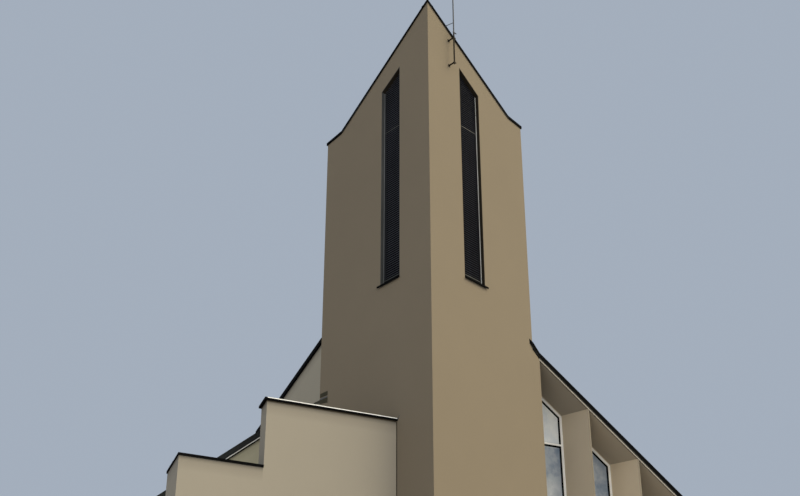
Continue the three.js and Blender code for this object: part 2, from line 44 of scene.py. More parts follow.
TO_RIGHT = Vector((1.0, 0.0, 0.0))
TO_REAR = Vector((0.0, 1.0, 0.0))
TO_LEFT = -TO_RIGHT
TO_FRONT = -TO_REAR

# Tower, as in the part's source: front corner, turn, widths of the two front faces and heights of the roof
TOWER_CORNER = Vector((-0.69, -14.54, 0.0))
TOWER_TURN = math.radians(22.9)
TOWER_RIGHT = 3.65
TOWER_LEFT = 4.04
APEX_Z = 28.49
KINK_ALONG = {"left": 3.45, "right": 3.135}
KINK_Z = {"left": 25.81, "right": 26.10}
EAVE_Z = {"left": 25.71, "right": 26.01}
TOWER_ROOF_OVERHANG = 0.025

# Louvre slots: distances of their two sides from the ridge corner, and heights of the sloped head there
TOWER_SLOTS = {
    "right": (1.200, 1.938, 26.78, 26.19),
    "left": (1.108, 1.820, 26.80, 26.30),
    "rear_left": (1.200, 1.938, 26.80, 26.30),
    "rear_right": (1.108, 1.820, 26.78, 26.19),
}
SLOT_SILL_Z = 20.05

# Hall
HALL_HALF = 11.28
FRONT_Y = -13.0
REAR_Y = 13.0
LEFT_FRONT_Y = -5.1
WALL = 0.45
ROOF_TOP_Z = 19.472
LEFT_ROOF_TOP_Z = 19.302
TOP_HALF = 2.26
ROOF_SLOPE = 0.883
LEFT_ROOF_SLOPE = 0.864
ROOF_DEPTH = 0.132
LEFT_ROOF_DEPTH = 0.205
SOFFIT_DEPTH = 0.058
VERGE_OVERHANG = 0.04
VERGE_LINE_DROP = 0.075
EAVES_X = 11.60
CENTRE_WALL_X = -2.215
COPING_TOP_Z = 19.47
COPING_HEIGHT = 0.12
CENTRE_COPING_OVER = 0.06
PIER_REACH = 0.253
RECESS_DEPTH = 1.0
BAY_COUNT = 6
FIN_BACK_HALF = 0.252
HALL_SIDES = (("right", 1.0, FRONT_Y), ("left", -1.0, LEFT_FRONT_Y))

# Stepped screen wall beside the tower
SCREEN_FRONT_Y = -13.43
SCREEN_DEPTH = 0.456
SCREEN_LEFT_X = -6.26
SCREEN_STEP_X = -4.335
SCREEN_STEP_OVER = 0.06
SCREEN_LOW_Z = 14.52
SCREEN_HIGH_Z = 16.19
LOW_COPING = 0.060
HIGH_COPING = 0.095
HIGH_SHEET = 0.064
COPING_OVER = 0.04
LOW_FRONT_OVER = 0.022
RETURN_END_Y = -12.34
RETURN_THICKNESS = 0.35

# Places worked out from these
TOWER_X = Vector((math.cos(TOWER_TURN), math.sin(TOWER_TURN), 0.0))
TOWER_Y = Vector((-math.sin(TOWER_TURN), math.cos(TOWER_TURN), 0.0))
RIGHT_CORNER = TOWER_CORNER + TOWER_X * TOWER_RIGHT
LEFT_CORNER = TOWER_CORNER + TOWER_Y * TOWER_LEFT
BACK_CORNER = RIGHT_CORNER + TOWER_Y * TOWER_LEFT
TOWER_LEAN = math.tan(TOWER_TURN)
PIER_END = TOWER_CORNER + TOWER_X * (TOWER_RIGHT + PIER_REACH)
BAY_PITCH = (HALL_HALF - WALL - PIER_END.x) / BAY_COUNT
FRONT_VERGE_Y = FRONT_Y - VERGE_OVERHANG
REAR_VERGE_Y = REAR_Y + VERGE_OVERHANG


# Camera, at the photograph's viewing angle

CAMERA_AT = (-12.09, -42.30, 1.6)
CAMERA_PITCH = 32.0775
CAMERA_HEADING = 20.88
CAMERA_LENS = 64.627
CAMERA_SENSOR = 36.0
CAMERA_RANGE = 500.0


def add_object(name, data):
    made = bpy.data.objects.new(name, data)
    bpy.context.scene.collection.objects.link(made)
    return made


def make_camera():
    data = bpy.data.cameras.new("camera")
    data.sensor_width = CAMERA_SENSOR
    data.lens = CAMERA_LENS
    data.clip_end = CAMERA_RANGE
    camera = add_object("camera", data)
    camera.location = CAMERA_AT
    camera.rotation_euler = (math.radians(90.0 + CAMERA_PITCH), 0.0, -math.radians(CAMERA_HEADING))
    bpy.context.scene.camera = camera


make_camera()


# Materials

class Shader:
    """A new material. Each call adds a node, sets its plain values and links its sockets."""

    def __init__(self, name):
        self.material = bpy.data.materials.new(name)
        self.material.use_nodes = True
        self.tree = self.material.node_tree
        self.surface = self.tree.nodes["Principled BSDF"]
        self.place = self.tree.nodes.new("ShaderNodeTexCoord").outputs["Object"]

    def fill(self, socket, value):
        if isinstance(value, bpy.types.NodeSocket):
            self.tree.links.new(value, socket)
        else:
            socket.default_value = value

    def node(self, kind, settings=None, **inputs):
        """Inputs go by name, or by number after an underscore."""
        made = self.tree.nodes.new(f"ShaderNode{kind}")
        for key, value in (settings or {}).items():
            setattr(made, key, value)
        for key, value in inputs.items():
            self.fill(made.inputs[int(key[1:]) if key[1:].isdigit() else key], value)
        return made

    def finish(self, **inputs):
        """Fills the surface's inputs, named with _ for each space, and returns the material."""
        for key, value in inputs.items():
            self.fill(self.surface.inputs[key.replace("_", " ")], value)
        return self.material

    def axis(self, name):
        return self.node("SeparateXYZ", Vector=self.place).outputs[name]

    def noise(self, scale, detail, stretch=None, roughness=0.55):
        place = self.place
        if stretch:
            place = self.node("Mapping", Vector=place, Scale=stretch).outputs["Vector"]
        settings = {"Scale": scale, "Detail": detail, "Roughness": roughness}
        return self.node("TexNoise", Vector=place, **settings).outputs["Fac"]

    def cells(self, scale):
        return self.node("TexVoronoi", Vector=self.place, Scale=scale).outputs["Distance"]

    def math(self, operation, first, second):
        return self.node("Math", {"operation": operation}, _0=first, _1=second).outputs["Value"]

    def between(self, value, low, high, to_low, to_high):
        return self.node("MapRange", **{
            "Value": value, "From Min": low, "From Max": high, "To Min": to_low, "To Max": to_high,
        }).outputs["Result"]

    def patches(self, scale, detail, low, high, stretch=None, span=(0.3, 0.7)):
        """Soft patches between two values; a narrow span of the noise gives them harder edges."""
        return self.between(self.noise(scale, detail, stretch), *span, low, high)

    def mix(self, factor, first, second):
        return self.node("Mix", {"data_type": "RGBA"}, Factor=factor, _6=first, _7=second).outputs[2]

    def shade(self, colour, *factors):
        """The colour times every factor."""
        product = factors[0]
        for factor in factors[1:]:
            product = self.math("MULTIPLY", product, factor)
        return self.node("VectorMath", {"operation": "SCALE"}, Vector=colour, Scale=product).outputs["Vector"]

    def bump(self, height, distance, strength, **under):
        sizes = {"Distance": distance, "Strength": strength}
        return self.node("Bump", Height=height, **sizes, **under).outputs["Normal"]


def rgba(*colour):
    return (*colour, 1.0)


SPLASH_HEIGHT = 0.75
# How dark the painted shade on the fins' front edges is
FIN_EDGE_SHADE = 0.42


def plaster(name, colour, top=None, tone=None):
    """Painted mineral render: faint clouds, a fine grain and a damp foot.

    Top gives the height of a coping's underside, for the painted shade and some grime below it, and tone a
    factor of its own.
    """
    s = Shader(name)
    grain = s.noise(95.0, 2.0)
    ragged = s.math("ADD", s.axis("Z"), s.patches(2.3, 5.0, -0.25, 0.25))
    factors = [
        s.patches(0.16, 4.0, 0.975, 1.02),
        s.patches(1.3, 5.0, 0.988, 1.01, span=(0.25, 0.75)),
        s.between(grain, 0.3, 0.7, 0.975, 1.02),
        s.between(ragged, 0.05, SPLASH_HEIGHT, 0.66, 1.0),
    ]
    if tone:
        factors.append(tone(s))
    if top:
        # Painted shade under a coping, with some grime: darker towards its underside.
        below = s.math("SUBTRACT", top(s), s.axis("Z"))
        factors += [s.between(below, 0.0, 0.10, 0.62, 1.0), s.between(below, 0.0, 0.34, 0.78, 1.0)]
    return s.finish(
        Base_Color=s.shade(colour, *factors),
        Roughness=s.between(grain, 0.2, 0.8, 0.88, 0.98),
        Specular_IOR_Level=0.2,
        Normal=s.bump(grain, 0.003, 0.4, Normal=s.bump(s.noise(4.0, 4.0), 0.008, 0.2)),
    )


def fin_edge_shade(s):
    """Painted shade that darkens the narrow front edges of the fins."""
    return s.between(s.axis("Y"), FRONT_Y + 0.002, FRONT_Y + 0.012, FIN_EDGE_SHADE, 1.0)


# Heights of the undersides of copings and verges, where the painted shade below them starts
def screen_top(s):
    high = s.math("GREATER_THAN", s.axis("X"), SCREEN_STEP_X - 0.01)
    return s.between(high, 0.0, 1.0, SCREEN_LOW_Z - LOW_COPING, SCREEN_HIGH_Z - HIGH_COPING)


def centre_top(_):
    return COPING_TOP_Z - COPING_HEIGHT


def left_front_top(s):
    middle_z = LEFT_ROOF_TOP_Z + LEFT_ROOF_SLOPE * TOP_HALF - LEFT_ROOF_DEPTH - VERGE_LINE_DROP
    return s.math("ADD", s.math("MULTIPLY", s.axis("X"), LEFT_ROOF_SLOPE), middle_z)


def sheet_metal(name, colour, roughness, specular, wave=0.001):
    """Coated sheet: slow waves from fixing, chalky patches and runs of dust."""
    s = Shader(name)
    chalk = s.patches(0.9, 5.0, 0.85, 1.2)
    dust = s.patches(1.0, 5.0, 0.9, 1.25, (7.0, 7.0, 0.35), span=(0.4, 0.72))
    return s.finish(
        Base_Color=s.shade(colour, chalk, dust),
        Roughness=s.patches(38.0, 3.0, roughness - 0.08, roughness + 0.1),
        Specular_IOR_Level=specular,
        Normal=s.bump(s.noise(1.6, 2.0), wave, 0.4),
    )


def galvanised(name, colour):
    """Bare zinc with its spangle."""
    s = Shader(name)
    spangle = s.cells(55.0)
    return s.finish(
        Base_Color=s.shade(colour, s.patches(2.6, 5.0, 0.84, 1.1), s.between(spangle, 0.0, 0.8, 0.92, 1.08)),
        Roughness=s.between(spangle, 0.0, 0.8, 0.34, 0.52),
        Metallic=0.85,
        Normal=s.bump(s.noise(24.0, 3.0), 0.002, 0.3),
    )


# Heights over which the painted sky reflection in the glass turns paler
TOP_LIGHT_Z = (16.80, 17.0)


def glass_with_painted_reflection(name):
    """Window glass with a painted reflection: soft cloudy patches of painted sky, palest in the top lights.
    """
    s = Shader(name)
    folds = s.noise(0.8, 1.5, (1.1, 1.1, 0.9), 0.6)
    wisps = s.noise(3.0, 3.0, (1.1, 1.1, 0.8), 0.65)
    # Painted reflection of clouds: soft patches between a darker lower tone and a paler upper tone.
    cloud = s.math("ADD", s.between(folds, 0.40, 0.60, 0.0, 0.65), s.between(wisps, 0.38, 0.62, 0.0, 0.35))
    lower = s.mix(cloud, rgba(0.17, 0.22, 0.29), rgba(0.53, 0.55, 0.57))
    upper = s.mix(cloud, rgba(0.61, 0.66, 0.72), rgba(0.88, 0.88, 0.83))
    return s.finish(
        Base_Color=s.mix(s.between(s.axis("Z"), *TOP_LIGHT_Z, 0.0, 1.0), lower, upper),
        Roughness=s.between(wisps, 0.4, 0.7, 0.22, 0.34),
        Specular_IOR_Level=0.15,
        Normal=s.bump(wisps, 0.02, 0.15),
    )


def paint(name, colour, roughness):
    """Painted frames and trims: thin brush texture and rubbed places."""
    s = Shader(name)
    brush = s.noise(1.0, 5.0, (60.0, 60.0, 5.0))
    return s.finish(
        Base_Color=s.shade(colour, s.patches(3.1, 5.0, 0.93, 1.04), s.between(brush, 0.3, 0.7, 0.97, 1.03)),
        Roughness=s.between(brush, 0.3, 0.7, roughness - 0.06, roughness + 0.1),
        Normal=s.bump(brush, 0.0015, 0.3),
    )


def speckled(name, colour, scale, clouds, specks, roughness, *relief):
    """Matt and clouded, with small specks: the pores of concrete, or the chippings of roofing felt."""
    s = Shader(name)
    cells = s.cells(scale)
    tint = s.shade(colour, s.patches(*clouds), s.between(cells, *specks))
    return s.finish(Base_Color=tint, Roughness=roughness, Normal=s.bump(cells, *relief))


def boards(name, colour):
    """Stained boards with upright grain."""
    s = Shader(name)
    grain = s.noise(1.0, 7.0, (45.0, 45.0, 1.6), 0.65)
    tones = s.patches(1.0, 0.0, 0.8, 1.2, (8.0, 8.0, 0.02))
    return s.finish(
        Base_Color=s.shade(colour, s.between(grain, 0.3, 0.7, 0.6, 1.35), tones),
        Roughness=s.between(grain, 0.3, 0.7, 0.42, 0.62),
        Normal=s.bump(grain, 0.002, 0.5),
    )


TOWER_PAINT = plaster("tower_plaster", (0.213, 0.173, 0.1215))
HALL_PAINT = plaster("hall_plaster", (0.35, 0.305, 0.235))
SCREEN_PAINT = plaster("screen_plaster", (0.317, 0.281, 0.225), screen_top)
CENTRE_PAINT = plaster("centre_plaster", (0.376, 0.333, 0.258), centre_top)
# A lighter copy of the hall plaster on the left front wall: painted light for a wall that stands in shade.
LEFT_FRONT_PAINT = plaster("left_front_plaster", (0.484, 0.45, 0.324), left_front_top)
# A darker copy of the soffit's cream: painted shade on the soffit's downward face.
SOFFIT_PAINT = plaster("soffit_plaster", (0.325, 0.285, 0.228))
# A lighter copy of the hall plaster for the fins and the bays' front wall: painted light that brightens the
# recess.
FIN_PAINT = plaster("fin_plaster", (0.585, 0.50, 0.378), tone=fin_edge_shade)
CREAM_EDGE = paint("cream_edge", (0.60, 0.53, 0.42), 0.6)
WHITE_FRAME = paint("white_frame", (0.90, 0.89, 0.85), 0.35)
DARK_SHEET = sheet_metal("dark_sheet", (0.020, 0.022, 0.022), 0.8, 0.2, 0.01)
ROOF_SHEET = sheet_metal("roof_sheet", (0.045, 0.049, 0.048), 0.6, 0.35, 0.01)
BLACK_TRIM = sheet_metal("black_trim", (0.0035, 0.0035, 0.0035), 0.85, 0.03, 0.002)
LINING_METAL = sheet_metal("lining_metal", (0.070, 0.072, 0.070), 0.75, 0.2, 0.002)
# One slat paint in two tones: painted shade on the blades and painted light on their front noses.
BLADE_METAL = sheet_metal("blade_metal", (0.003, 0.003, 0.004), 0.8, 0.02)
NOSE_METAL = sheet_metal("nose_metal", (0.046, 0.048, 0.058), 0.7, 0.2)
# Darker noses for the right face: painted shade against the sun that falls on that face.
SHADE_PAINTED_NOSE_METAL = sheet_metal("shade_painted_nose_metal", (0.019, 0.0205, 0.030), 0.7, 0.1)
SIDE_RAIL_METAL = sheet_metal("side_rail_metal", (0.18, 0.185, 0.185), 0.6, 0.3)
RAIL_METAL = sheet_metal("rail_metal", (0.50, 0.50, 0.48), 0.6, 0.3)
JOINT_METAL = sheet_metal("joint_metal", (0.10, 0.10, 0.10), 0.6, 0.2)
STEP_METAL = sheet_metal("step_metal", (0.050, 0.044, 0.028), 0.75, 0.1)
BROWN_METAL = sheet_metal("brown_metal", (0.020, 0.015, 0.009), 0.75, 0.2)
POLE_METAL = sheet_metal("pole_metal", (0.050, 0.050, 0.052), 0.6, 0.4)
ZINC = galvanised("zinc", (0.42, 0.44, 0.45))
GLASS = glass_with_painted_reflection("glass_with_painted_reflection")
GASKET = sheet_metal("gasket", (0.003, 0.003, 0.003), 0.8, 0.03)
# Dark brown: sealant in the joint at the tower, and painted shade under the high coping and in that corner.
MASTIC_AND_SHADE = sheet_metal("mastic_and_painted_shade", (0.060, 0.048, 0.032), 0.9, 0.1)
CONCRETE = speckled(
    "floated_concrete", (0.34, 0.33, 0.30), 42.0, (0.8, 6.0, 0.82, 1.12), (0.0, 0.25, 0.8, 1.0),
    0.85, 0.004, 0.4,
)
FELT = speckled(
    "mineral_felt", (0.085, 0.088, 0.085), 70.0, (0.5, 5.0, 0.7, 1.15, None, (0.35, 0.65)),
    (0.0, 0.7, 0.7, 1.3), 0.93, 0.006, 0.6,
)
TIMBER = boards("stained_boards", (0.12, 0.062, 0.034))


# Shapes

def rectangle(a0, a1, b0, b1):
    return [(a0, b0), (a1, b0), (a1, b1), (a0, b1)]


def inset(outline, distance):
    """A convex outline, given anticlockwise, moved inwards by a distance."""
    moved = []
    count = len(outline)
    for place in range(count):
        lines = []
        for start in (place - 1, place):
            a, b = Vector(outline[start % count]), Vector(outline[(start + 1) % count])
            along = (b - a).normalized()
            lines.append((a + Vector((-along.y, along.x)) * distance, along))
        (p, u), (q, v) = lines
        reach = ((q.x - p.x) * v.y - (q.y - p.y) * v.x) / (u.x * v.y - u.y * v.x)
        moved.append(tuple(p + u * reach))
    return moved


def stops(start, end, pitch):
    """Places at one pitch, with the same distance left at both ends."""
    count = int((end - start) / pitch)
    first = (start + end - (count - 1) * pitch) / 2
    return [first + number * pitch for number in range(count)]


class Solid:
    """The mesh of one piece, gathered from closed lofts. Each call returns the solid."""

    def __init__(self):
        self.points = []
        self.faces = []

    def loft(self, rings):
        """Joins rings with the same number of points and caps both ends."""
        first = len(self.points)
        count = len(rings[0])
        last = first + (len(rings) - 1) * count
        for points in rings:
            self.points.extend(points)
        for low in range(first, last, count):
            for place in range(count):
                after = (place + 1) % count
                self.faces.append((low + place, low + after, low + count + after, low + count + place))
        self.faces.append(tuple(reversed(range(first, first + count))))
        self.faces.append(tuple(range(last, last + count)))
        return self

    def sweep(self, path, profile, side):
        """Carries an upright profile, as (distance to the side, height), along a path.

        One side direction serves the whole path, or each point of the path has its own.
        """
        sides = side if isinstance(side, list) else [side] * len(path)
        return self.loft([
            [point + across * a + UP * b for a, b in profile] for point, across in zip(path, sides)
        ])

    def tube(self, path, radius, sides):
        """A round bar along a path, with one radius for all of it or a list with one for each point."""
        radii = radius if isinstance(radius, list) else [radius] * len(path)
        turns = [2.0 * math.pi * side / sides for side in range(sides)]
        rings = []
        for place, point in enumerate(path):
            along = (path[min(place + 1, len(path) - 1)] - path[max(place - 1, 0)]).normalized()
            runs_to_rear = abs(along.y) > 0.999
            first = TO_RIGHT if runs_to_rear else along.cross(TO_REAR).normalized()
            second = along.cross(first)
            rings.append([
                point + (first * math.cos(turn) + second * math.sin(turn)) * radii[place] for turn in turns
            ])
        return self.loft(rings)


class Face:
    """A wall face: an origin, a level direction along the face and the outward direction."""

    def __init__(self, origin, along=TO_RIGHT, out=TO_FRONT):
        self.origin = Vector(origin)
        self.along = along
        self.out = out

    def at(self, along, out, z):
        return self.origin + self.along * along + self.out * out + UP * z

    def slab(self, solid, outline, out0, out1):
        """An outline on the face, made solid between two distances out from it."""
        return solid.loft([[self.at(along, out, z) for along, z in outline] for out in (out0, out1)])

    def block(self, solid, a0, a1, out0, out1, z0, z1):
        return self.slab(solid, rectangle(a0, a1, z0, z1), out0, out1)

    def ring(self, solid, outer, inner, out0, out1):
        """A mitred frame between two outlines."""
        for place in range(len(outer)):
            after = (place + 1) % len(outer)
            self.slab(solid, [outer[place], outer[after], inner[after], inner[place]], out0, out1)
        return solid

    def run(self, solid, a0, a1, profile, z=0.0, lean=0.0):
        """Carries a profile, as (out, height over z), along the face; a lean cuts the far end askew."""
        return solid.loft([
            [self.at(a0, out, z + up) for out, up in profile],
            [self.at(a1 + lean * out, out, z + up) for out, up in profile],
        ])


def build(name, solid, material, replaces=(), bevel=0.0, smooth=0.0):
    """Makes a piece; bevel rounds its edges, and smooth is the widest angle that is shaded as round."""
    mesh = bpy.data.meshes.new(name)
    mesh.from_pydata(solid.points, [], solid.faces)
    work = bmesh.new()
    work.from_mesh(mesh)
    bmesh.ops.recalc_face_normals(work, faces=work.faces)
    work.to_mesh(mesh)
    work.free()
    mesh.materials.append(material)
    piece = add_object(name, mesh)
    if bevel:
        rounding = piece.modifiers.new("rounding", "BEVEL")
        rounding.width = bevel
        rounding.segments = 2
        rounding.limit_method = "ANGLE"
    if smooth:
        mesh.shade_smooth()
        mesh.set_sharp_from_angle(angle=math.radians(smooth))
    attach(piece, "root")
    if replaces:
        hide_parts(*replaces)


TOWER_FACES = {
    "right": Face(TOWER_CORNER, TOWER_X, -TOWER_Y),
    "left": Face(TOWER_CORNER, TOWER_Y, -TOWER_X),
    "rear_left": Face(BACK_CORNER, -TOWER_X, TOWER_Y),
    "rear_right": Face(BACK_CORNER, -TOWER_Y, TOWER_X),
}


# Louvres: sloping blades with folded noses in a dark lining, and a folded sill that runs past the far side

SLAT_PITCH = 0.0667
SLAT_FRONT = -0.104
SLAT_BACK = -0.186
BLADE_THICKNESS = 0.002
BLADE_FALL = 0.052
BLADE_TOP_GAP = 0.06
NOSE_HEIGHT = 0.019
NOSE_BACK = SLAT_FRONT - 0.003
JOINT_Z = 24.89
LINING = 0.012
LINING_BACK = -0.30
LINING_FRONT = -0.002
HEAD_LINING = 0.004
RAIL_WIDTH = 0.022
RAIL_BACK = SLAT_FRONT + 0.001
RAIL_Z = SLOT_SILL_Z + 0.02
BOTTOM_RAIL_TOP_Z = SLOT_SILL_Z + 0.20
RAIL_EDGE_Z = BOTTOM_RAIL_TOP_Z - 0.024
SILL_PAST_SLOT = 0.070
LOUVRE_SILL = [
    (0.001, 0.024), (0.001, 0.031), (0.060, 0.019), (0.060, -0.028), (0.046, -0.028), (0.046, -0.022),
    (0.054, -0.022), (0.054, 0.013),
]
LOUVRE_BED = [(-0.2, 0.03), (-0.2, 0.05), (0.008, 0.036), (0.008, 0.016)]


def blade_end(slot, z, least):
    """Where a level line meets the slot's far side or sloped head, but at least a little past its start."""
    start, end, head_start, head_end = slot
    slope = (head_start - head_end) / (end - start)
    return max(min(end, start + (head_start - z - LINING) / slope) - LINING, start + LINING + least)


def louvre_blades(name, face, slot, nose_metal):
    start = slot[0] + LINING
    last_z = slot[2] - BLADE_TOP_GAP - BLADE_FALL
    blades, noses, joint = Solid(), Solid(), Solid()
    z = SLOT_SILL_Z + SLAT_PITCH
    while z < last_z:
        low, high = blade_end(slot, z, 0.01), blade_end(slot, z + BLADE_FALL, 0.005)
        back_z = z + BLADE_FALL
        profile = [
            (SLAT_BACK, back_z), (NOSE_BACK, z - BLADE_THICKNESS), (NOSE_BACK, z),
            (SLAT_BACK, back_z + BLADE_THICKNESS),
        ]
        blades.loft([
            [face.at(start, out, up) for out, up in profile],
            [face.at(end, out, up) for end, (out, up) in zip((high, low, low, high), profile)],
        ])
        nose = joint if abs(z - JOINT_Z) < SLAT_PITCH / 2 else noses
        face.block(nose, start, low, NOSE_BACK, SLAT_FRONT, z - NOSE_HEIGHT, z)
        z += SLAT_PITCH
    build(f"louvre_blades_{name}", blades, BLADE_METAL, [f"louvre_{name}"])
    build(f"louvre_noses_{name}", noses, nose_metal)
    build(f"louvre_joint_{name}", joint, JOINT_METAL)


def louvre_frame(name, face, slot, lining_metal, rail_metal):
    start, end, head_start, head_end = slot
    outline = [(start, SLOT_SILL_Z), (end, SLOT_SILL_Z), (end, head_end), (start, head_start)]
    near, far = start + LINING, end - LINING
    side = far - RAIL_WIDTH
    rails = face.block(Solid(), side, far - 0.001, RAIL_BACK, RAIL_BACK + 0.006, RAIL_Z, head_end - 0.02)
    inner, lower = inset(outline, LINING), inset(outline, LINING + HEAD_LINING)
    lining = face.ring(Solid(), inset(outline, 0.001), inner, LINING_BACK, LINING_FRONT)
    # A dark brown strip on the underside of the head: painted shade.
    head = face.slab(Solid(), [inner[3], inner[2], lower[2], lower[3]], LINING_BACK, LINING_FRONT)
    edge = face.block(Solid(), near, side, RAIL_BACK, RAIL_BACK + 0.005, RAIL_EDGE_Z, BOTTOM_RAIL_TOP_Z)
    for part, solid, metal in (
        ("rails", rails, rail_metal), ("lining", lining, lining_metal), ("head", head, BROWN_METAL),
        ("rail_edge", edge, LINING_METAL),
    ):
        build(f"louvre_{part}_{name}", solid, metal)

    sill = face.block(Solid(), near, side, RAIL_BACK, RAIL_BACK + 0.004, RAIL_Z, RAIL_EDGE_Z)
    # A black panel just behind the blades: painted shade for the dark inside of the tower.
    face.slab(sill, inset(outline, LINING / 2), SLAT_BACK - 0.012, SLAT_BACK - 0.006)
    face.run(sill, start, end + SILL_PAST_SLOT, LOUVRE_SILL, SLOT_SILL_Z)
    face.run(sill, near, far, LOUVRE_BED, SLOT_SILL_Z)
    build(f"louvre_sill_{name}", sill, BLACK_TRIM, bevel=0.001)


def louvres():
    """The louvres of all four faces; the right face's have darker noses, painted shade on that sunlit face, a
    brown lining and a pale rail.
    """
    for name, face in TOWER_FACES.items():
        nose, lining, rail = NOSE_METAL, LINING_METAL, SIDE_RAIL_METAL
        if name == "right":
            nose, lining, rail = SHADE_PAINTED_NOSE_METAL, BROWN_METAL, RAIL_METAL
        louvre_blades(name, face, TOWER_SLOTS[name], nose)
        louvre_frame(name, face, TOWER_SLOTS[name], lining, rail)


louvres()


# Tower roof: sheets over the diagonal with standing seams, a ridge cap and folded verges

RIDGE_LENGTH = math.hypot(TOWER_RIGHT, TOWER_LEFT)
RIDGE_ALONG = (TOWER_X * TOWER_RIGHT + TOWER_Y * TOWER_LEFT).normalized()
RIDGE_SIDE = Vector((RIDGE_ALONG.y, -RIDGE_ALONG.x, 0.0))
EAVE_REACH = TOWER_RIGHT * TOWER_LEFT / RIDGE_LENGTH
KINK_REACH = {
    "left": KINK_ALONG["left"] * TOWER_RIGHT / RIDGE_LENGTH,
    "right": KINK_ALONG["right"] * TOWER_LEFT / RIDGE_LENGTH,
}
SEAM_PITCH = 0.53
SEAM_HEIGHT = 0.028
SEAM_WIDTH = 0.012
SEAM_TOP_GAP = 0.10
RIDGE_CAP_REACH = 0.16


def seam(solid, path, across, fold):
    """A standing seam with its top folded over; fold is the depth of the folded part."""
    half = SEAM_WIDTH / 2
    solid.sweep(path, [
        (-half, -0.006), (half, -0.006), (half, SEAM_HEIGHT - fold), (SEAM_WIDTH, SEAM_HEIGHT - 0.004),
        (SEAM_WIDTH, SEAM_HEIGHT), (-half, SEAM_HEIGHT),
    ], across)


def tower_roof_point(side, along, reach):
    """A point of the tower's roof, by its place along the ridge and its level distance from it."""
    kink, kink_z = KINK_REACH[side], KINK_Z[side]
    if reach <= kink:
        z = APEX_Z - (APEX_Z - kink_z) * reach / kink
    else:
        z = kink_z - (kink_z - EAVE_Z[side]) * (reach - kink) / (EAVE_REACH - kink)
    out = reach if side == "right" else -reach
    return TOWER_CORNER + RIDGE_ALONG * along + RIDGE_SIDE * out + UP * z


def tower_roof_reach(side, along):
    """Level distance from the ridge to the roof's edge."""
    ratio = TOWER_LEFT / TOWER_RIGHT if side == "right" else TOWER_RIGHT / TOWER_LEFT
    return min(along * ratio, (RIDGE_LENGTH - along) / ratio)


def tower_seams():
    seams = Solid()
    for side, kink in KINK_REACH.items():
        for along in stops(0.0, RIDGE_LENGTH, SEAM_PITCH):
            reach = tower_roof_reach(side, along) - 0.02
            places = [SEAM_TOP_GAP, kink, reach] if reach > kink + 0.05 else [SEAM_TOP_GAP, reach]
            seam(seams, [tower_roof_point(side, along, place) for place in places], RIDGE_ALONG, 0.008)
    build("tower_roof_seams", seams, ROOF_SHEET)


VERGE_FLANGE = 0.07
VERGE_FOLD = [
    (-VERGE_FLANGE, 0.001), (-VERGE_FLANGE, 0.005), (0.003, 0.023), (0.003, -0.063), (-0.021, -0.063),
    (-0.021, -0.058), (0.0005, -0.058), (0.0005, 0.001),
]


def tower_ridge():
    path = [tower_roof_point("left", end, 0.0) for end in (VERGE_FLANGE, RIDGE_LENGTH - VERGE_FLANGE)]
    reach = RIDGE_CAP_REACH
    left_z, right_z = (reach * (KINK_Z[side] - APEX_Z) / KINK_REACH[side] for side in ("left", "right"))
    cap = Solid().sweep(path, [
        (-reach, left_z + 0.004), (-reach, left_z + 0.014), (0.0, 0.016), (reach, right_z + 0.014),
        (reach, right_z + 0.004), (0.0, 0.004),
    ], RIDGE_SIDE)
    build("tower_ridge_cap", cap, DARK_SHEET, bevel=0.002)


def tower_verges():
    """A folded sheet round the edge of the roof, mitred at the four corners."""
    over = TOWER_ROOF_OVERHANG
    sheet = Solid()
    for name, face in TOWER_FACES.items():
        side = "left" if "left" in name else "right"
        width = TOWER_LEFT if name in ("left", "rear_right") else TOWER_RIGHT
        path = [
            face.at(-over, over, APEX_Z),
            face.at(width * KINK_REACH[side] / EAVE_REACH, over, KINK_Z[side]),
            face.at(width + over, over, EAVE_Z[side]),
        ]
        sheet.sweep(path, VERGE_FOLD, [face.out - face.along, face.out, face.out + face.along])
    build("tower_verge_flashing", sheet, BLACK_TRIM, bevel=0.001)


tower_seams()
tower_ridge()
tower_verges()


# Lightning rod: a pole on two brackets beside the right verge, with clamps, a stay and a tapered tip

ROD_ALONG = 0.805
ROD_OUT = 0.206
ROD_SIDES = 20
ROD_BRACKETS = (26.622, 27.498)
ROD_CLAMP_Z = 27.678
STAY_FOOT = (0.69, 0.022, 27.955)
STAY_TOP_Z = 28.03

# Heights and radii of the pole, its collar and its foot
POLE_STOPS = ((27.64, 0.017), (29.80, 0.017), (29.82, 0.010), (30.70, 0.009), (30.80, 0.001))
COLLAR_STOPS = ((29.77, 0.022), (29.83, 0.022))
FOOT_STOPS = ((26.56, 0.018), (26.566, 0.021), (27.65, 0.021))


def rod_tube(solid, stations):
    path = [TOWER_FACES["right"].at(ROD_ALONG, ROD_OUT, z) for z, _ in stations]
    return solid.tube(path, [radius for _, radius in stations], ROD_SIDES)


def rod_block(solid, left, right, out0, out1, z, half):
    TOWER_FACES["right"].block(solid, ROD_ALONG - left, ROD_ALONG + right, out0, out1, z - half, z + half)


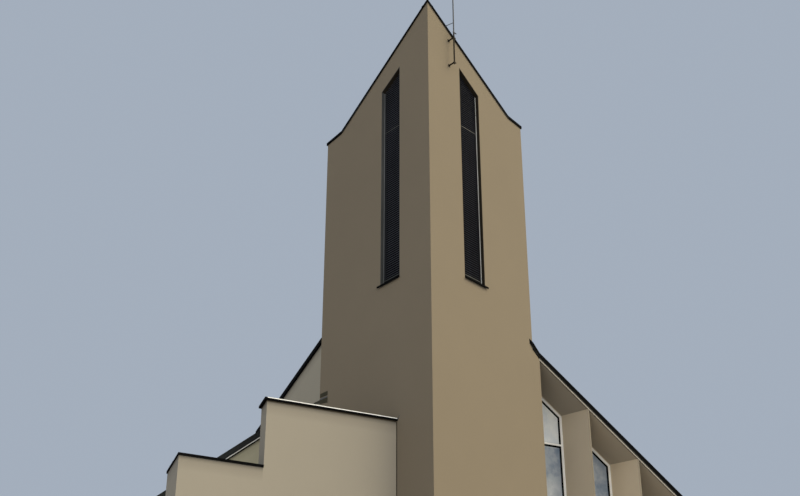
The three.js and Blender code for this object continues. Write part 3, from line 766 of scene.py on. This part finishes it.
def lightning_rod():
    face = TOWER_FACES["right"]
    pole = rod_tube(rod_tube(Solid(), POLE_STOPS), COLLAR_STOPS)
    build("lightning_rod_pole", pole, POLE_METAL, ["lightning_rod"], smooth=40.0)
    build("lightning_rod_foot", rod_tube(Solid(), FOOT_STOPS), BROWN_METAL, smooth=40.0)

    hold = Solid()
    for z in ROD_BRACKETS:
        rod_block(hold, 0.035, 0.035, 0.0, 0.006, z, 0.045)
        rod_block(hold, 0.016, 0.016, 0.006, ROD_OUT - 0.014, z, 0.016)
        rod_tube(hold, ((z - 0.03, 0.025), (z + 0.03, 0.025)))
        rod_block(hold, 0.0, 0.07, ROD_OUT - 0.006, ROD_OUT + 0.006, z, 0.018)
        for along in (ROD_ALONG - 0.026, ROD_ALONG + 0.026):
            hold.tube([face.at(along, 0.005, z), face.at(along, 0.016, z)], 0.007, 6)
    rod_block(hold, 0.03, 0.10, ROD_OUT - 0.008, ROD_OUT + 0.008, ROD_CLAMP_Z, 0.014)
    hold.tube([face.at(*STAY_FOOT), face.at(ROD_ALONG, ROD_OUT, STAY_TOP_Z)], 0.009, 10)
    build("lightning_rod_brackets", hold, BROWN_METAL, bevel=0.0015)


lightning_rod()


# Hall roof: standing seams, verges with a fascia sheet under a lipped cap, and the edges under and over them

TOWER_CLEAR = 0.06
PIER_VERGE_RETURN = 0.095
VERGE_CAP = [
    (-0.11, 0.001), (-0.11, 0.004), (0.006, 0.004), (0.006, -0.048), (0.0035, -0.048), (0.0035, 0.001),
]
UPPER_FLASHING_FALL = 0.13 * ROOF_SLOPE
UPPER_FLASHING = [
    (0.14, 0.006 - UPPER_FLASHING_FALL), (0.14, 0.018 - UPPER_FLASHING_FALL), (0.0, 0.022), (-0.03, 0.022),
    (-0.03, -0.15), (-0.022, -0.15), (-0.022, 0.006), (0.0, 0.006),
]


def roof_z(x):
    if x <= -TOP_HALF:
        return LEFT_ROOF_TOP_Z + LEFT_ROOF_SLOPE * (x + TOP_HALF)
    return ROOF_TOP_Z - ROOF_SLOPE * max(x - TOP_HALF, 0.0)


def roof_point(x, y, drop=0.0):
    return Vector((x, y, roof_z(x) - drop))


def right_seam_start(y):
    """Where a seam of the right slope starts: at the level roof, or outside the tower's rear face."""
    start = TOP_HALF + SEAM_TOP_GAP
    if y < BACK_CORNER.y:
        share = (RIGHT_CORNER.y - y) / (RIGHT_CORNER.y - BACK_CORNER.y)
        start = max(start, RIGHT_CORNER.lerp(BACK_CORNER, share).x + TOWER_CLEAR)
    return start


def hall_seams():
    for name, side, start_y in HALL_SIDES:
        seams = Solid()
        for y in stops(start_y, REAR_Y, SEAM_PITCH):
            start = right_seam_start(y) if side > 0 else TOP_HALF + SEAM_TOP_GAP
            seam(seams, [roof_point(side * x, y) for x in (start, EAVES_X - 0.01)], TO_REAR, 0.006)
        build(f"roof_seams_{name}", seams, ROOF_SHEET)


def verge(name, path, out, thickness, material):
    cap = Solid().sweep(path, VERGE_CAP, out)
    cap.sweep(path, rectangle(0.0005, 0.003, 0.0005, -thickness - 0.002), out)
    build(f"verge_cap_{name}", cap, material, bevel=0.0005)


def hall_verges():
    x, y = RIGHT_CORNER.x, RIGHT_CORNER.y - VERGE_OVERHANG
    path = [roof_point(x - PIER_VERGE_RETURN, y), roof_point(x, y), roof_point(PIER_END.x, FRONT_VERGE_Y)]
    verge("front_pier", path, [TO_FRONT + TO_LEFT * 0.8, -TOWER_Y, -TOWER_Y], ROOF_DEPTH, BLACK_TRIM)
    for name, x, y, out, material in (
        ("front_right", PIER_END.x, FRONT_VERGE_Y, TO_FRONT, BLACK_TRIM),
        ("front_left", -TOP_HALF, LEFT_FRONT_Y - VERGE_OVERHANG, TO_FRONT, DARK_SHEET),
        ("rear_right", TOP_HALF, REAR_VERGE_Y, TO_REAR, DARK_SHEET),
        ("rear_left", -TOP_HALF, REAR_VERGE_Y, TO_REAR, DARK_SHEET),
    ):
        eaves_x, thickness = (EAVES_X, ROOF_DEPTH) if x > 0.0 else (-EAVES_X, LEFT_ROOF_DEPTH)
        verge(name, [roof_point(x, y), roof_point(eaves_x, y)], out, thickness, material)


def soffit_edge():
    """The cream edge of the soffit over the front bays, with a black drip fold under it that also paints the
    shadow line under the edge.
    """
    path = [roof_point(x, FRONT_Y, ROOF_DEPTH) for x in (PIER_END.x + 0.002, HALL_HALF - WALL)]
    low = -SOFFIT_DEPTH
    edge = Solid().sweep(path, rectangle(0.0005, 0.003, -0.002, low + 0.004), TO_FRONT)
    build("soffit_edge", edge, CREAM_EDGE)
    # The drip fold is black as painted shade under the cream edge.
    fold = [(0.003, low + 0.003), (0.003, low - 0.008), (-0.012, low - 0.008), (-0.012, low - 0.001)]
    build("soffit_drip", Solid().sweep(path, fold, TO_FRONT), BLACK_TRIM)


def left_verge_lines():
    """The white bead under the left verge, and a black strip under it that is a painted shadow line."""
    path = [roof_point(x, LEFT_FRONT_Y, LEFT_ROOF_DEPTH) for x in (-TOP_HALF, -EAVES_X)]
    bead = Solid().sweep(path, rectangle(0.001, 0.036, -0.001, -0.036), TO_FRONT)
    build("verge_bead_left", bead, WHITE_FRAME, bevel=0.003)
    # Painted shadow: a black strip under the bead, where the overhang's shade falls.
    line = Solid().sweep(path, rectangle(0.001, 0.030, -0.037, -VERGE_LINE_DROP), TO_FRONT)
    build("verge_shadow_line_left", line, BLACK_TRIM)


def upper_flashing():
    """The upper edges of the slopes and the step down to the level roof."""
    cap = Solid()
    for side, start_y in ((1.0, FRONT_Y + 1.1), (-1.0, LEFT_FRONT_Y)):
        path = [roof_point(side * TOP_HALF, y) for y in (start_y, REAR_VERGE_Y)]
        cap.sweep(path, UPPER_FLASHING, TO_RIGHT * side)
    build("roof_upper_flashing", cap, DARK_SHEET, bevel=0.002)


hall_seams()
hall_verges()
soffit_edge()
left_verge_lines()
upper_flashing()


# Copings: folded sheet over a wall's top, with flat welted joints

JOINT_PITCH = 1.6
JOINT_HALF = 0.014
WELT = 0.002


def coping(name, face, length, width, top_z, height, replaces, overhang, lean=0.0):
    """A coping along a face: the wall's front is at out 0 and its back at -width.

    With a lean, the far end follows a wall that stands at an angle to the face.
    """
    front, back, low_z = overhang, -width - overhang, top_z - height
    sheet = Solid()
    profile = [(front, 0.0), (front, height), (back, height - 0.008), (back, 0.0)]
    face.run(sheet, 0.0, length, profile, low_z, lean)
    welt = [(front + WELT, WELT), (front + WELT, height), (back - WELT, height - 0.007), (back - WELT, WELT)]
    count = max(int(length / JOINT_PITCH), 1)
    for number in range(1, count + 1):
        middle = length * number / (count + 1)
        face.run(sheet, middle - JOINT_HALF, middle + JOINT_HALF, welt, low_z)
    build(name, sheet, BLACK_TRIM, replaces, bevel=0.0015)


HIGH_FACE = Face((SCREEN_STEP_X - SCREEN_STEP_OVER, SCREEN_FRONT_Y, 0.0))
LOW_FACE = Face((SCREEN_LEFT_X - LOW_FRONT_OVER, SCREEN_FRONT_Y, 0.0))
RETURN_FACE = Face((SCREEN_LEFT_X, SCREEN_FRONT_Y + SCREEN_DEPTH + LOW_FRONT_OVER, 0.0), TO_REAR, TO_LEFT)
CENTRE_FACE = Face((CENTRE_WALL_X, LEFT_CORNER.y, 0.0), TO_REAR, TO_LEFT)
TOWER_AT_SCREEN_X = TOWER_CORNER.x - (SCREEN_FRONT_Y - TOWER_CORNER.y) * TOWER_LEAN
HIGH_LENGTH = TOWER_AT_SCREEN_X - HIGH_FACE.origin.x - 0.001


def copings():
    coping(
        "screen_coping_high", HIGH_FACE, HIGH_LENGTH, SCREEN_DEPTH, SCREEN_HIGH_Z, HIGH_SHEET,
        ["coping_high"], COPING_OVER, TOWER_LEAN,
    )
    # A dark brown strip under the coping sheet: painted shade on the wall under the coping.
    profile = rectangle(0.003, -SCREEN_DEPTH - 0.003, -HIGH_COPING, 0.002 - HIGH_SHEET)
    start, end = SCREEN_STEP_OVER - 0.003, HIGH_LENGTH - 0.002
    shade_strip = HIGH_FACE.run(Solid(), start, end, profile, SCREEN_HIGH_Z, TOWER_LEAN)
    build("screen_coping_shade_strip", shade_strip, MASTIC_AND_SHADE)
    coping(
        "screen_coping_low", LOW_FACE, SCREEN_STEP_X - LOW_FACE.origin.x, SCREEN_DEPTH, SCREEN_LOW_Z,
        LOW_COPING, ["coping_low"], LOW_FRONT_OVER,
    )
    coping(
        "screen_coping_return", RETURN_FACE, RETURN_END_Y - SCREEN_FRONT_Y - SCREEN_DEPTH,
        RETURN_THICKNESS, SCREEN_LOW_Z, LOW_COPING, (), LOW_FRONT_OVER,
    )
    coping(
        "centre_wall_coping", CENTRE_FACE, LEFT_FRONT_Y + WALL - CENTRE_FACE.origin.y,
        WALL - CENTRE_COPING_OVER, COPING_TOP_Z, COPING_HEIGHT, ["coping_centre"], CENTRE_COPING_OVER,
    )


# Two steps of sheet on the tower's left face and a strip on the centre wall, as distances along and heights
STEP_PLATES = (
    ((3.740, 17.828), (4.018, 17.836), (4.018, 17.728), (3.740, 17.712)),
    ((3.736, 17.652), (4.038, 17.658), (4.038, 17.560), (3.730, 17.500)),
)
STEP_BAND = ((3.742, 17.686), (4.030, 17.700), (4.030, 17.664), (3.742, 17.656))
STEP_STRIP = ((0.0, 17.590), (0.0, 17.700), (0.60, 17.880), (0.60, 17.840))

# The small upstand at the end of the high coping, from the coping's front edge and top
UPSTAND = ((-0.05, 0.075), (-0.065, 0.060), (-0.005, -0.030), (0.010, -0.015))


def screen_junction():
    """Where the screen meets the tower: a pale line on the high coping, painted as a highlight, an upstand, a
    joint and the steps.
    """
    # The pale line is a painted highlight along the coping's top edge.
    profile = rectangle(COPING_OVER + 0.0005, COPING_OVER + 0.004, -0.020, 0.0)
    end = HIGH_LENGTH - 0.02
    line = HIGH_FACE.run(Solid(), SCREEN_STEP_OVER, end, profile, SCREEN_HIGH_Z, TOWER_LEAN)
    build("screen_coping_line", line, WHITE_FRAME)

    tower = TOWER_FACES["left"]
    screen_along = (SCREEN_FRONT_Y - TOWER_CORNER.y) / math.cos(TOWER_TURN)
    edge_along = screen_along - COPING_OVER / math.cos(TOWER_TURN)
    outline = [(edge_along + along, SCREEN_HIGH_Z + up) for along, up in UPSTAND]
    build("screen_upstand", tower.slab(Solid(), outline, 0.001, 0.005), JOINT_METAL)
    # A dark strip in the corner where the screen meets the tower: the joint, with painted shade in the
    # corner.
    joint_top_z = SCREEN_HIGH_Z - HIGH_COPING
    joint = tower.block(Solid(), screen_along - 0.012, screen_along, 0.0005, 0.016, 0.0, joint_top_z)
    build("screen_joint", joint, MASTIC_AND_SHADE)

    plates = CENTRE_FACE.slab(Solid(), STEP_STRIP, 0.001, 0.009)
    for outline in STEP_PLATES:
        tower.slab(plates, outline, 0.001, 0.009)
    build("tower_step_flashings", plates, STEP_METAL, bevel=0.001)
    build("tower_step_band", tower.slab(Solid(), STEP_BAND, 0.001, 0.011), JOINT_METAL)


copings()
screen_junction()


# Windows: a white frame, a black sash, level transoms, panes and a folded sill

FRONT_SILL_Z = 0.9
FRONT_HEAD_DROP = ROOF_DEPTH + SOFFIT_DEPTH + 0.026
PLAIN_HEAD_DROP = LEFT_ROOF_DEPTH + 0.18
WINDOW_WIDTH = BAY_PITCH - 2 * FIN_BACK_HALF
PLAIN_WINDOW_OUT = 0.07 - WALL
FRAME_WIDTH = 0.068
FRAME_DEPTH = 0.07
SASH_WIDTH = 0.043
HEAD_GAP = 0.024
PANE_BACK = 0.046
PANE_THICKNESS = 0.018
TRANSOM_HALF = 0.026
TRANSOM_LEVELS = (16.92, 14.52, 12.12, 9.72, 7.32, 4.92, 2.52)
TRANSOM_MARGIN = 0.6
SILL_OUT = 0.038
SIDE_HALF = 0.45
SIDE_PITCH = 3.0
SIDE_SILL_Z = 1.2
SIDE_HEAD_Z = 8.9
REAR_MIDDLES = (4.5, 6.3, 8.1)
ENTRANCE_X = -6.26
ENTRANCE_TOP_Z = 5.45


def transom_heights(outline):
    """The common levels of the transoms that fall inside a window."""
    low_z = outline[0][1] + TRANSOM_MARGIN
    high_z = min(outline[2][1], outline[3][1]) - TRANSOM_MARGIN
    return [z for z in TRANSOM_LEVELS if low_z < z < high_z]


def windows(name, face, outlines, out, node):
    """Windows for one node of the solids, with the fronts of their frames at a distance out from the face."""
    frames, seals_and_shade, panes = Solid(), Solid(), Solid()
    back, pane_out = out - FRAME_DEPTH, out - PANE_BACK
    for outline in outlines:
        inner = inset(outline, FRAME_WIDTH)
        face.ring(frames, inset(outline, 0.002), inner, back, out)
        face.ring(seals_and_shade, inner, inset(outline, FRAME_WIDTH + SASH_WIDTH), back + 0.004, out - 0.006)
        left, right = inner[0][0], inner[1][0]
        for z in transom_heights(outline):
            low_z = z - TRANSOM_HALF
            face.block(frames, left, right, back + 0.002, out - 0.001, low_z, z + TRANSOM_HALF)
            # Black strips under the transoms: painted shade.
            face.block(seals_and_shade, left, right, back + 0.006, out - 0.007, low_z - SASH_WIDTH, low_z)
        face.slab(panes, inset(outline, FRAME_WIDTH - 0.01), pane_out, pane_out + PANE_THICKNESS)
        head = [outline[3], outline[2]]
        # A black strip in the gap above the head: painted shade.
        face.slab(seals_and_shade, [*head, *((along, z + HEAD_GAP) for along, z in reversed(head))], back, out - 0.012)
    build(f"window_frames_{name}", frames, WHITE_FRAME, bevel=0.003)
    build(f"window_seals_{name}", seals_and_shade, GASKET)
    build(f"window_panes_{name}", panes, GLASS, [node])


def window_sills(name, face, outlines, back, material):
    """Sills that fall outwards, from a distance out from the face to their folded drips."""
    sills = Solid()
    profile = [
        (back, 0.012), (back, 0.022), (SILL_OUT, 0.006), (SILL_OUT, -0.030), (SILL_OUT - 0.006, -0.030),
        (SILL_OUT - 0.006, -0.004),
    ]
    for (left, z), (right, _), *_ in outlines:
        face.run(sills, left + 0.002, right - 0.002, profile, z)
    build(f"window_sills_{name}", sills, material)


def plain_windows(name, face, outlines):
    windows(name, face, outlines, PLAIN_WINDOW_OUT, f"glass_{name}")
    window_sills(name, face, outlines, PLAIN_WINDOW_OUT - 0.002, ZINC)


def bay_middle(bay):
    return PIER_END.x + (bay + 0.5) * BAY_PITCH


def sloped_outline(middle, sill_z, drop, side=1.0):
    """A window under a slope; side is -1 where the face runs towards -X."""
    x0, x1 = middle - WINDOW_WIDTH / 2, middle + WINDOW_WIDTH / 2
    return [(x0, sill_z), (x1, sill_z), (x1, roof_z(side * x1) - drop), (x0, roof_z(side * x0) - drop)]


def front_windows():
    face = Face((0.0, FRONT_Y + RECESS_DEPTH, 0.0))
    outlines = [sloped_outline(bay_middle(bay), FRONT_SILL_Z, FRONT_HEAD_DROP) for bay in range(BAY_COUNT)]
    for number, outline in enumerate(outlines, 1):
        windows(f"front_{number}", face, [outline], 0.0, f"window_front_{number}")
    window_sills("front", face, outlines, -0.05, DARK_SHEET)


def side_windows():
    for name, side, start_y in HALL_SIDES:
        face = Face((side * HALL_HALF, 0.0, 0.0), TO_REAR * side, TO_RIGHT * side)
        plain_windows(f"side_{name}", face, [
            rectangle(side * y - SIDE_HALF, side * y + SIDE_HALF, SIDE_SILL_Z, SIDE_HEAD_Z)
            for y in stops(start_y, REAR_Y, SIDE_PITCH)
        ])


def left_front_windows():
    outlines = []
    for bay in range(1, BAY_COUNT):
        middle = -bay_middle(bay)
        sill_z = FRONT_SILL_Z + (ENTRANCE_TOP_Z if middle > ENTRANCE_X else 0.0)
        outlines.append(sloped_outline(middle, sill_z, PLAIN_HEAD_DROP))
    plain_windows("front_left", Face((0.0, LEFT_FRONT_Y, 0.0)), outlines)


def rear_windows():
    face = Face((0.0, REAR_Y, 0.0), TO_LEFT, TO_REAR)
    for name, side, _ in HALL_SIDES:
        plain_windows(f"rear_{name}", face, [
            sloped_outline(-side * x, FRONT_SILL_Z, PLAIN_HEAD_DROP, -1.0) for x in REAR_MIDDLES
        ])


front_windows()
side_windows()
left_front_windows()
rear_windows()


# Entrance doors: a frame, two boarded leaves with a glazed strip each, pulls and a threshold

DOOR_X = -4.3
DOOR_HALF = 1.0
DOOR_SILL_Z = 0.2
DOOR_HEAD_Z = 2.7
DOOR_SET_BACK = 0.18
DOOR_THICKNESS = 0.07
CASING_WIDTH = 0.06
LEAF_SPAN = (0.014, DOOR_HALF - 0.064)
LEAF_HEIGHTS = (DOOR_SILL_Z + 0.07, DOOR_HEAD_Z - 0.064)
LEAF_OUTS = (-0.055, -0.008)
BOARD_COUNT = 7
BOARD_WIDTH = (LEAF_SPAN[1] - LEAF_SPAN[0]) / BOARD_COUNT
GLAZED_BOARDS = range(2, 4)
GLASS_HEIGHTS = (LEAF_HEIGHTS[0] + 0.55, LEAF_HEIGHTS[1] - 0.25)
KICK_PLATE_Z = (DOOR_SILL_Z + 0.075, DOOR_SILL_Z + 0.30)
PULL_ALONG = 0.085
PULL_OUT = 0.055
PULL_HEIGHTS = (0.85, 1.95)
PULL_STUDS = (0.98, 1.82)


def door_leaf(leaves, glass, metal, face):
    """One leaf, on a face that runs from the middle of the doorway to its side."""
    for board in range(BOARD_COUNT):
        start = LEAF_SPAN[0] + board * BOARD_WIDTH
        heights = [LEAF_HEIGHTS]
        if board in GLAZED_BOARDS:
            heights = [(LEAF_HEIGHTS[0], GLASS_HEIGHTS[0]), (GLASS_HEIGHTS[1], LEAF_HEIGHTS[1])]
        for low_z, high_z in heights:
            face.block(leaves, start + 0.002, start + BOARD_WIDTH - 0.002, *LEAF_OUTS, low_z, high_z)
    near, far = (LEAF_SPAN[0] + board * BOARD_WIDTH for board in (GLAZED_BOARDS.start, GLAZED_BOARDS.stop))
    strip = rectangle(near, far, *GLASS_HEIGHTS)
    face.slab(glass, inset(strip, -0.01), -0.042, -0.026)
    face.ring(metal, strip, inset(strip, 0.018), -0.020, -0.002)
    metal.tube([face.at(PULL_ALONG, PULL_OUT, z) for z in PULL_HEIGHTS], 0.014, 16)
    for z in PULL_STUDS:
        metal.tube([face.at(PULL_ALONG, -0.01, z), face.at(PULL_ALONG, PULL_OUT, z)], 0.008, 12)
    face.block(metal, *LEAF_SPAN, -0.008, -0.004, *KICK_PLATE_Z)


def entrance_doors():
    middle = (DOOR_X, SCREEN_FRONT_Y + DOOR_SET_BACK, 0.0)
    face = Face(middle)
    outline = rectangle(-DOOR_HALF, DOOR_HALF, DOOR_SILL_Z, DOOR_HEAD_Z)
    casing = face.ring(Solid(), inset(outline, 0.001), inset(outline, CASING_WIDTH), -DOOR_THICKNESS, 0.012)
    face.block(casing, -0.012, 0.012, -0.06, 0.004, DOOR_SILL_Z + CASING_WIDTH, DOOR_HEAD_Z - CASING_WIDTH)
    build("door_frame", casing, DARK_SHEET, bevel=0.002)

    leaves, glass, metal = Solid(), Solid(), Solid()
    for along in (TO_LEFT, TO_RIGHT):
        door_leaf(leaves, glass, metal, Face(middle, along))
    end = DOOR_HALF - 0.001
    face.block(metal, -end, end, -DOOR_THICKNESS, 0.17, DOOR_SILL_Z + 0.001, DOOR_SILL_Z + 0.018)
    build("door_leaves", leaves, TIMBER, ["entrance_doors"], bevel=0.003)
    build("door_glass", glass, GLASS)
    build("door_metalwork", metal, ZINC, bevel=0.001)


entrance_doors()


# Gutters and downpipes: a beaded channel on brackets, and pipes with collars and clamps

GUTTER_RADIUS = 0.075
GUTTER_DROP = 0.06
GUTTER_SHEET = 0.004
BEAD_RADIUS = 0.008
BRACKET_PITCH = 0.8
BRACKET_WIDTH = 0.03
PIPE_RADIUS = 0.05
PIPE_OUTLET = 0.20
PIPE_NECK = 0.48
PIPE_WALL_GAP = 0.02
PIPE_FROM_CORNER = 0.32
PIPE_SIDES = 24
COLLAR_HEIGHTS = (0.9, 2.9, 4.9, 6.9, 8.9)
TOP_COLLAR_DROP = 0.35
CLAMP_HEIGHTS = (1.6, 3.6, 5.6, 7.6, 9.6)


def half_round(radius_out, radius_in, steps=16):
    turns = [math.pi * (1 + step / steps) for step in range(steps + 1)]
    points = [(turn, radius_out) for turn in turns] + [(turn, radius_in) for turn in reversed(turns)]
    return [(GUTTER_RADIUS + radius * math.cos(turn), radius * math.sin(turn)) for turn, radius in points]


def gutters():
    sheet, width = TO_REAR * GUTTER_SHEET, TO_REAR * BRACKET_WIDTH
    for name, side, start_y in HALL_SIDES:
        out = TO_RIGHT * side
        ends = (start_y - VERGE_OVERHANG, REAR_VERGE_Y)
        start, end = (roof_point(side * EAVES_X, y, GUTTER_DROP) for y in ends)
        gutter = Solid().sweep([start, end], half_round(GUTTER_RADIUS, GUTTER_RADIUS - GUTTER_SHEET), out)
        for tip in (start, end - sheet):
            gutter.sweep([tip, tip + sheet], half_round(GUTTER_RADIUS, 0.0005), out)
        lip = out * (2 * GUTTER_RADIUS - BEAD_RADIUS) + UP * 0.002
        gutter.tube([start + lip, end + lip], BEAD_RADIUS, 12)
        build(f"gutter_channel_{name}", gutter, ZINC, [f"gutter_{name}"], smooth=35.0)

        straps = Solid()
        count = int((end.y - start.y) / BRACKET_PITCH)
        for number in range(count + 1):
            near = start + TO_REAR * (0.06 + number * (end.y - start.y - 0.15) / count)
            straps.sweep([near, near + width], half_round(GUTTER_RADIUS - 0.0005, GUTTER_RADIUS - 0.008), out)
            straps.sweep([near, near + width], rectangle(0.002, 0.006, -0.01, 0.05), out)
        build(f"gutter_brackets_{name}", straps, DARK_SHEET)

        downpipe(f"{name}_front", side, start_y + PIPE_FROM_CORNER)
        downpipe(f"{name}_rear", side, REAR_Y - PIPE_FROM_CORNER)


def rounded_route(points, radius=0.09, steps=5):
    """A polyline with its corners turned into short arcs."""
    route = [points[0]]
    for before, corner, after in zip(points, points[1:], points[2:]):
        start = corner + (before - corner).normalized() * radius
        end = corner + (after - corner).normalized() * radius
        for step in range(steps + 1):
            share = step / steps
            route.append(start.lerp(corner, share).lerp(corner.lerp(end, share), share))
    route.append(points[-1])
    return route


def downpipe(name, side, y):
    outlet_x = side * (EAVES_X + GUTTER_RADIUS)
    wall_x = side * (HALL_HALF + PIPE_WALL_GAP + PIPE_RADIUS)
    top_z = roof_z(side * EAVES_X) - GUTTER_DROP - GUTTER_RADIUS + GUTTER_SHEET
    neck_z = top_z - PIPE_OUTLET
    foot_z = neck_z - PIPE_NECK
    route = [(outlet_x, top_z), (outlet_x, neck_z), (wall_x, foot_z), (wall_x, 0.0)]
    pipe = Solid().tube(rounded_route([Vector((x, y, z)) for x, z in route]), PIPE_RADIUS - 0.002, PIPE_SIDES)
    for z in (*COLLAR_HEIGHTS, foot_z - TOP_COLLAR_DROP):
        pipe.tube([Vector((wall_x, y, z)), Vector((wall_x, y, z + 0.05))], PIPE_RADIUS + 0.003, PIPE_SIDES)
    build(f"downpipe_tube_{name}", pipe, ZINC, [f"downpipe_{name}"], smooth=40.0)
    clamps = Solid()
    stem = Face((side * HALL_HALF, y, 0.0), TO_RIGHT * side)
    for z in CLAMP_HEIGHTS:
        clamps.tube([Vector((wall_x, y, z)), Vector((wall_x, y, z + 0.03))], PIPE_RADIUS + 0.005, PIPE_SIDES)
        stem.block(clamps, 0.0, PIPE_WALL_GAP + 0.01, -0.012, 0.012, z + 0.005, z + 0.025)
    build(f"downpipe_clamps_{name}", clamps, DARK_SHEET)


gutters()


# Finishes of the solids that show as they are

FINISHES = {
    TOWER_PAINT: [*(f"tower_wall_{name}" for name in TOWER_FACES), "corner_pier"],
    HALL_PAINT: ["side_wall_right", "side_wall_left", "rear_wall", "entrance_wall"],
    FIN_PAINT: ["front_wall_right", *(f"fin_{number}" for number in range(1, BAY_COUNT + 1))],
    CENTRE_PAINT: ["centre_wall"],
    LEFT_FRONT_PAINT: ["front_wall_left"],
    SCREEN_PAINT: ["screen_wall", "screen_return"],
    SOFFIT_PAINT: ["soffit_front"],
    ROOF_SHEET: ["tower_roof_left", "tower_roof_right", "roof_left", "roof_right"],
    FELT: ["roof_top", "entrance_roof"],
    CONCRETE: ["floor", "entrance_floor"],
}
for finish, names in FINISHES.items():
    for node_name in names:
        for material_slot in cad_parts[node_name].material_slots:
            material_slot.material = finish


# Stage: a pale floor and surround, a broad key light from the right front and two low lights from the front

GROUND_COLOUR = (0.535, 0.548, 0.60)
GROUND_REACH = 400.0
GROUND_Z = -0.005
BACKDROP_COLOUR = (0.370, 0.425, 0.505)
HORIZON_COLOUR = (0.56, 0.59, 0.62)

# Each light's name, heading and height in degrees, strength, colour and spread in degrees
SUNS = (
    ("key", 130.0, 42.0, 2.68, (1.0, 0.896, 0.62), 55.0),
    ("low_fill", 152.0, 5.0, 0.8, (1.0, 0.94, 0.84), 50.0),
    ("front_fill", 203.0, 8.0, 0.6, (1.0, 0.95, 0.85), 40.0),
)


def make_sun(name, heading, height, strength, colour, spread):
    data = bpy.data.lights.new(name, "SUN")
    data.energy = strength
    data.color = colour
    data.angle = math.radians(spread)
    sun = add_object(name, data)
    sun.rotation_euler = (math.radians(90.0 - height), 0.0, math.radians(180.0 - heading))


def make_ground():
    mesh = bpy.data.meshes.new("ground")
    corners = rectangle(-GROUND_REACH, GROUND_REACH, -GROUND_REACH, GROUND_REACH)
    mesh.from_pydata([(x, y, GROUND_Z) for x, y in corners], [], [(0, 1, 2, 3)])
    mesh.materials.append(Shader("pale_ground").finish(Base_Color=rgba(*GROUND_COLOUR), Roughness=0.9))
    add_object("ground", mesh)


def make_surround():
    world = bpy.data.worlds.new("surround")
    bpy.context.scene.world = world
    world.use_nodes = True
    tree = world.node_tree
    height = tree.nodes.new("ShaderNodeSeparateXYZ")
    tree.links.new(tree.nodes.new("ShaderNodeTexCoord").outputs["Generated"], height.inputs["Vector"])
    ramp = tree.nodes.new("ShaderNodeValToRGB")
    tree.links.new(height.outputs["Z"], ramp.inputs["Fac"])
    low, high = ramp.color_ramp.elements
    low.position, low.color = 0.02, rgba(*HORIZON_COLOUR)
    high.position, high.color = 0.36, rgba(*BACKDROP_COLOUR)
    tree.links.new(ramp.outputs["Color"], tree.nodes["Background"].inputs["Color"])


make_ground()
make_surround()
bpy.context.scene.view_settings.view_transform = "Standard"
for sun_values in SUNS:
    make_sun(*sun_values)
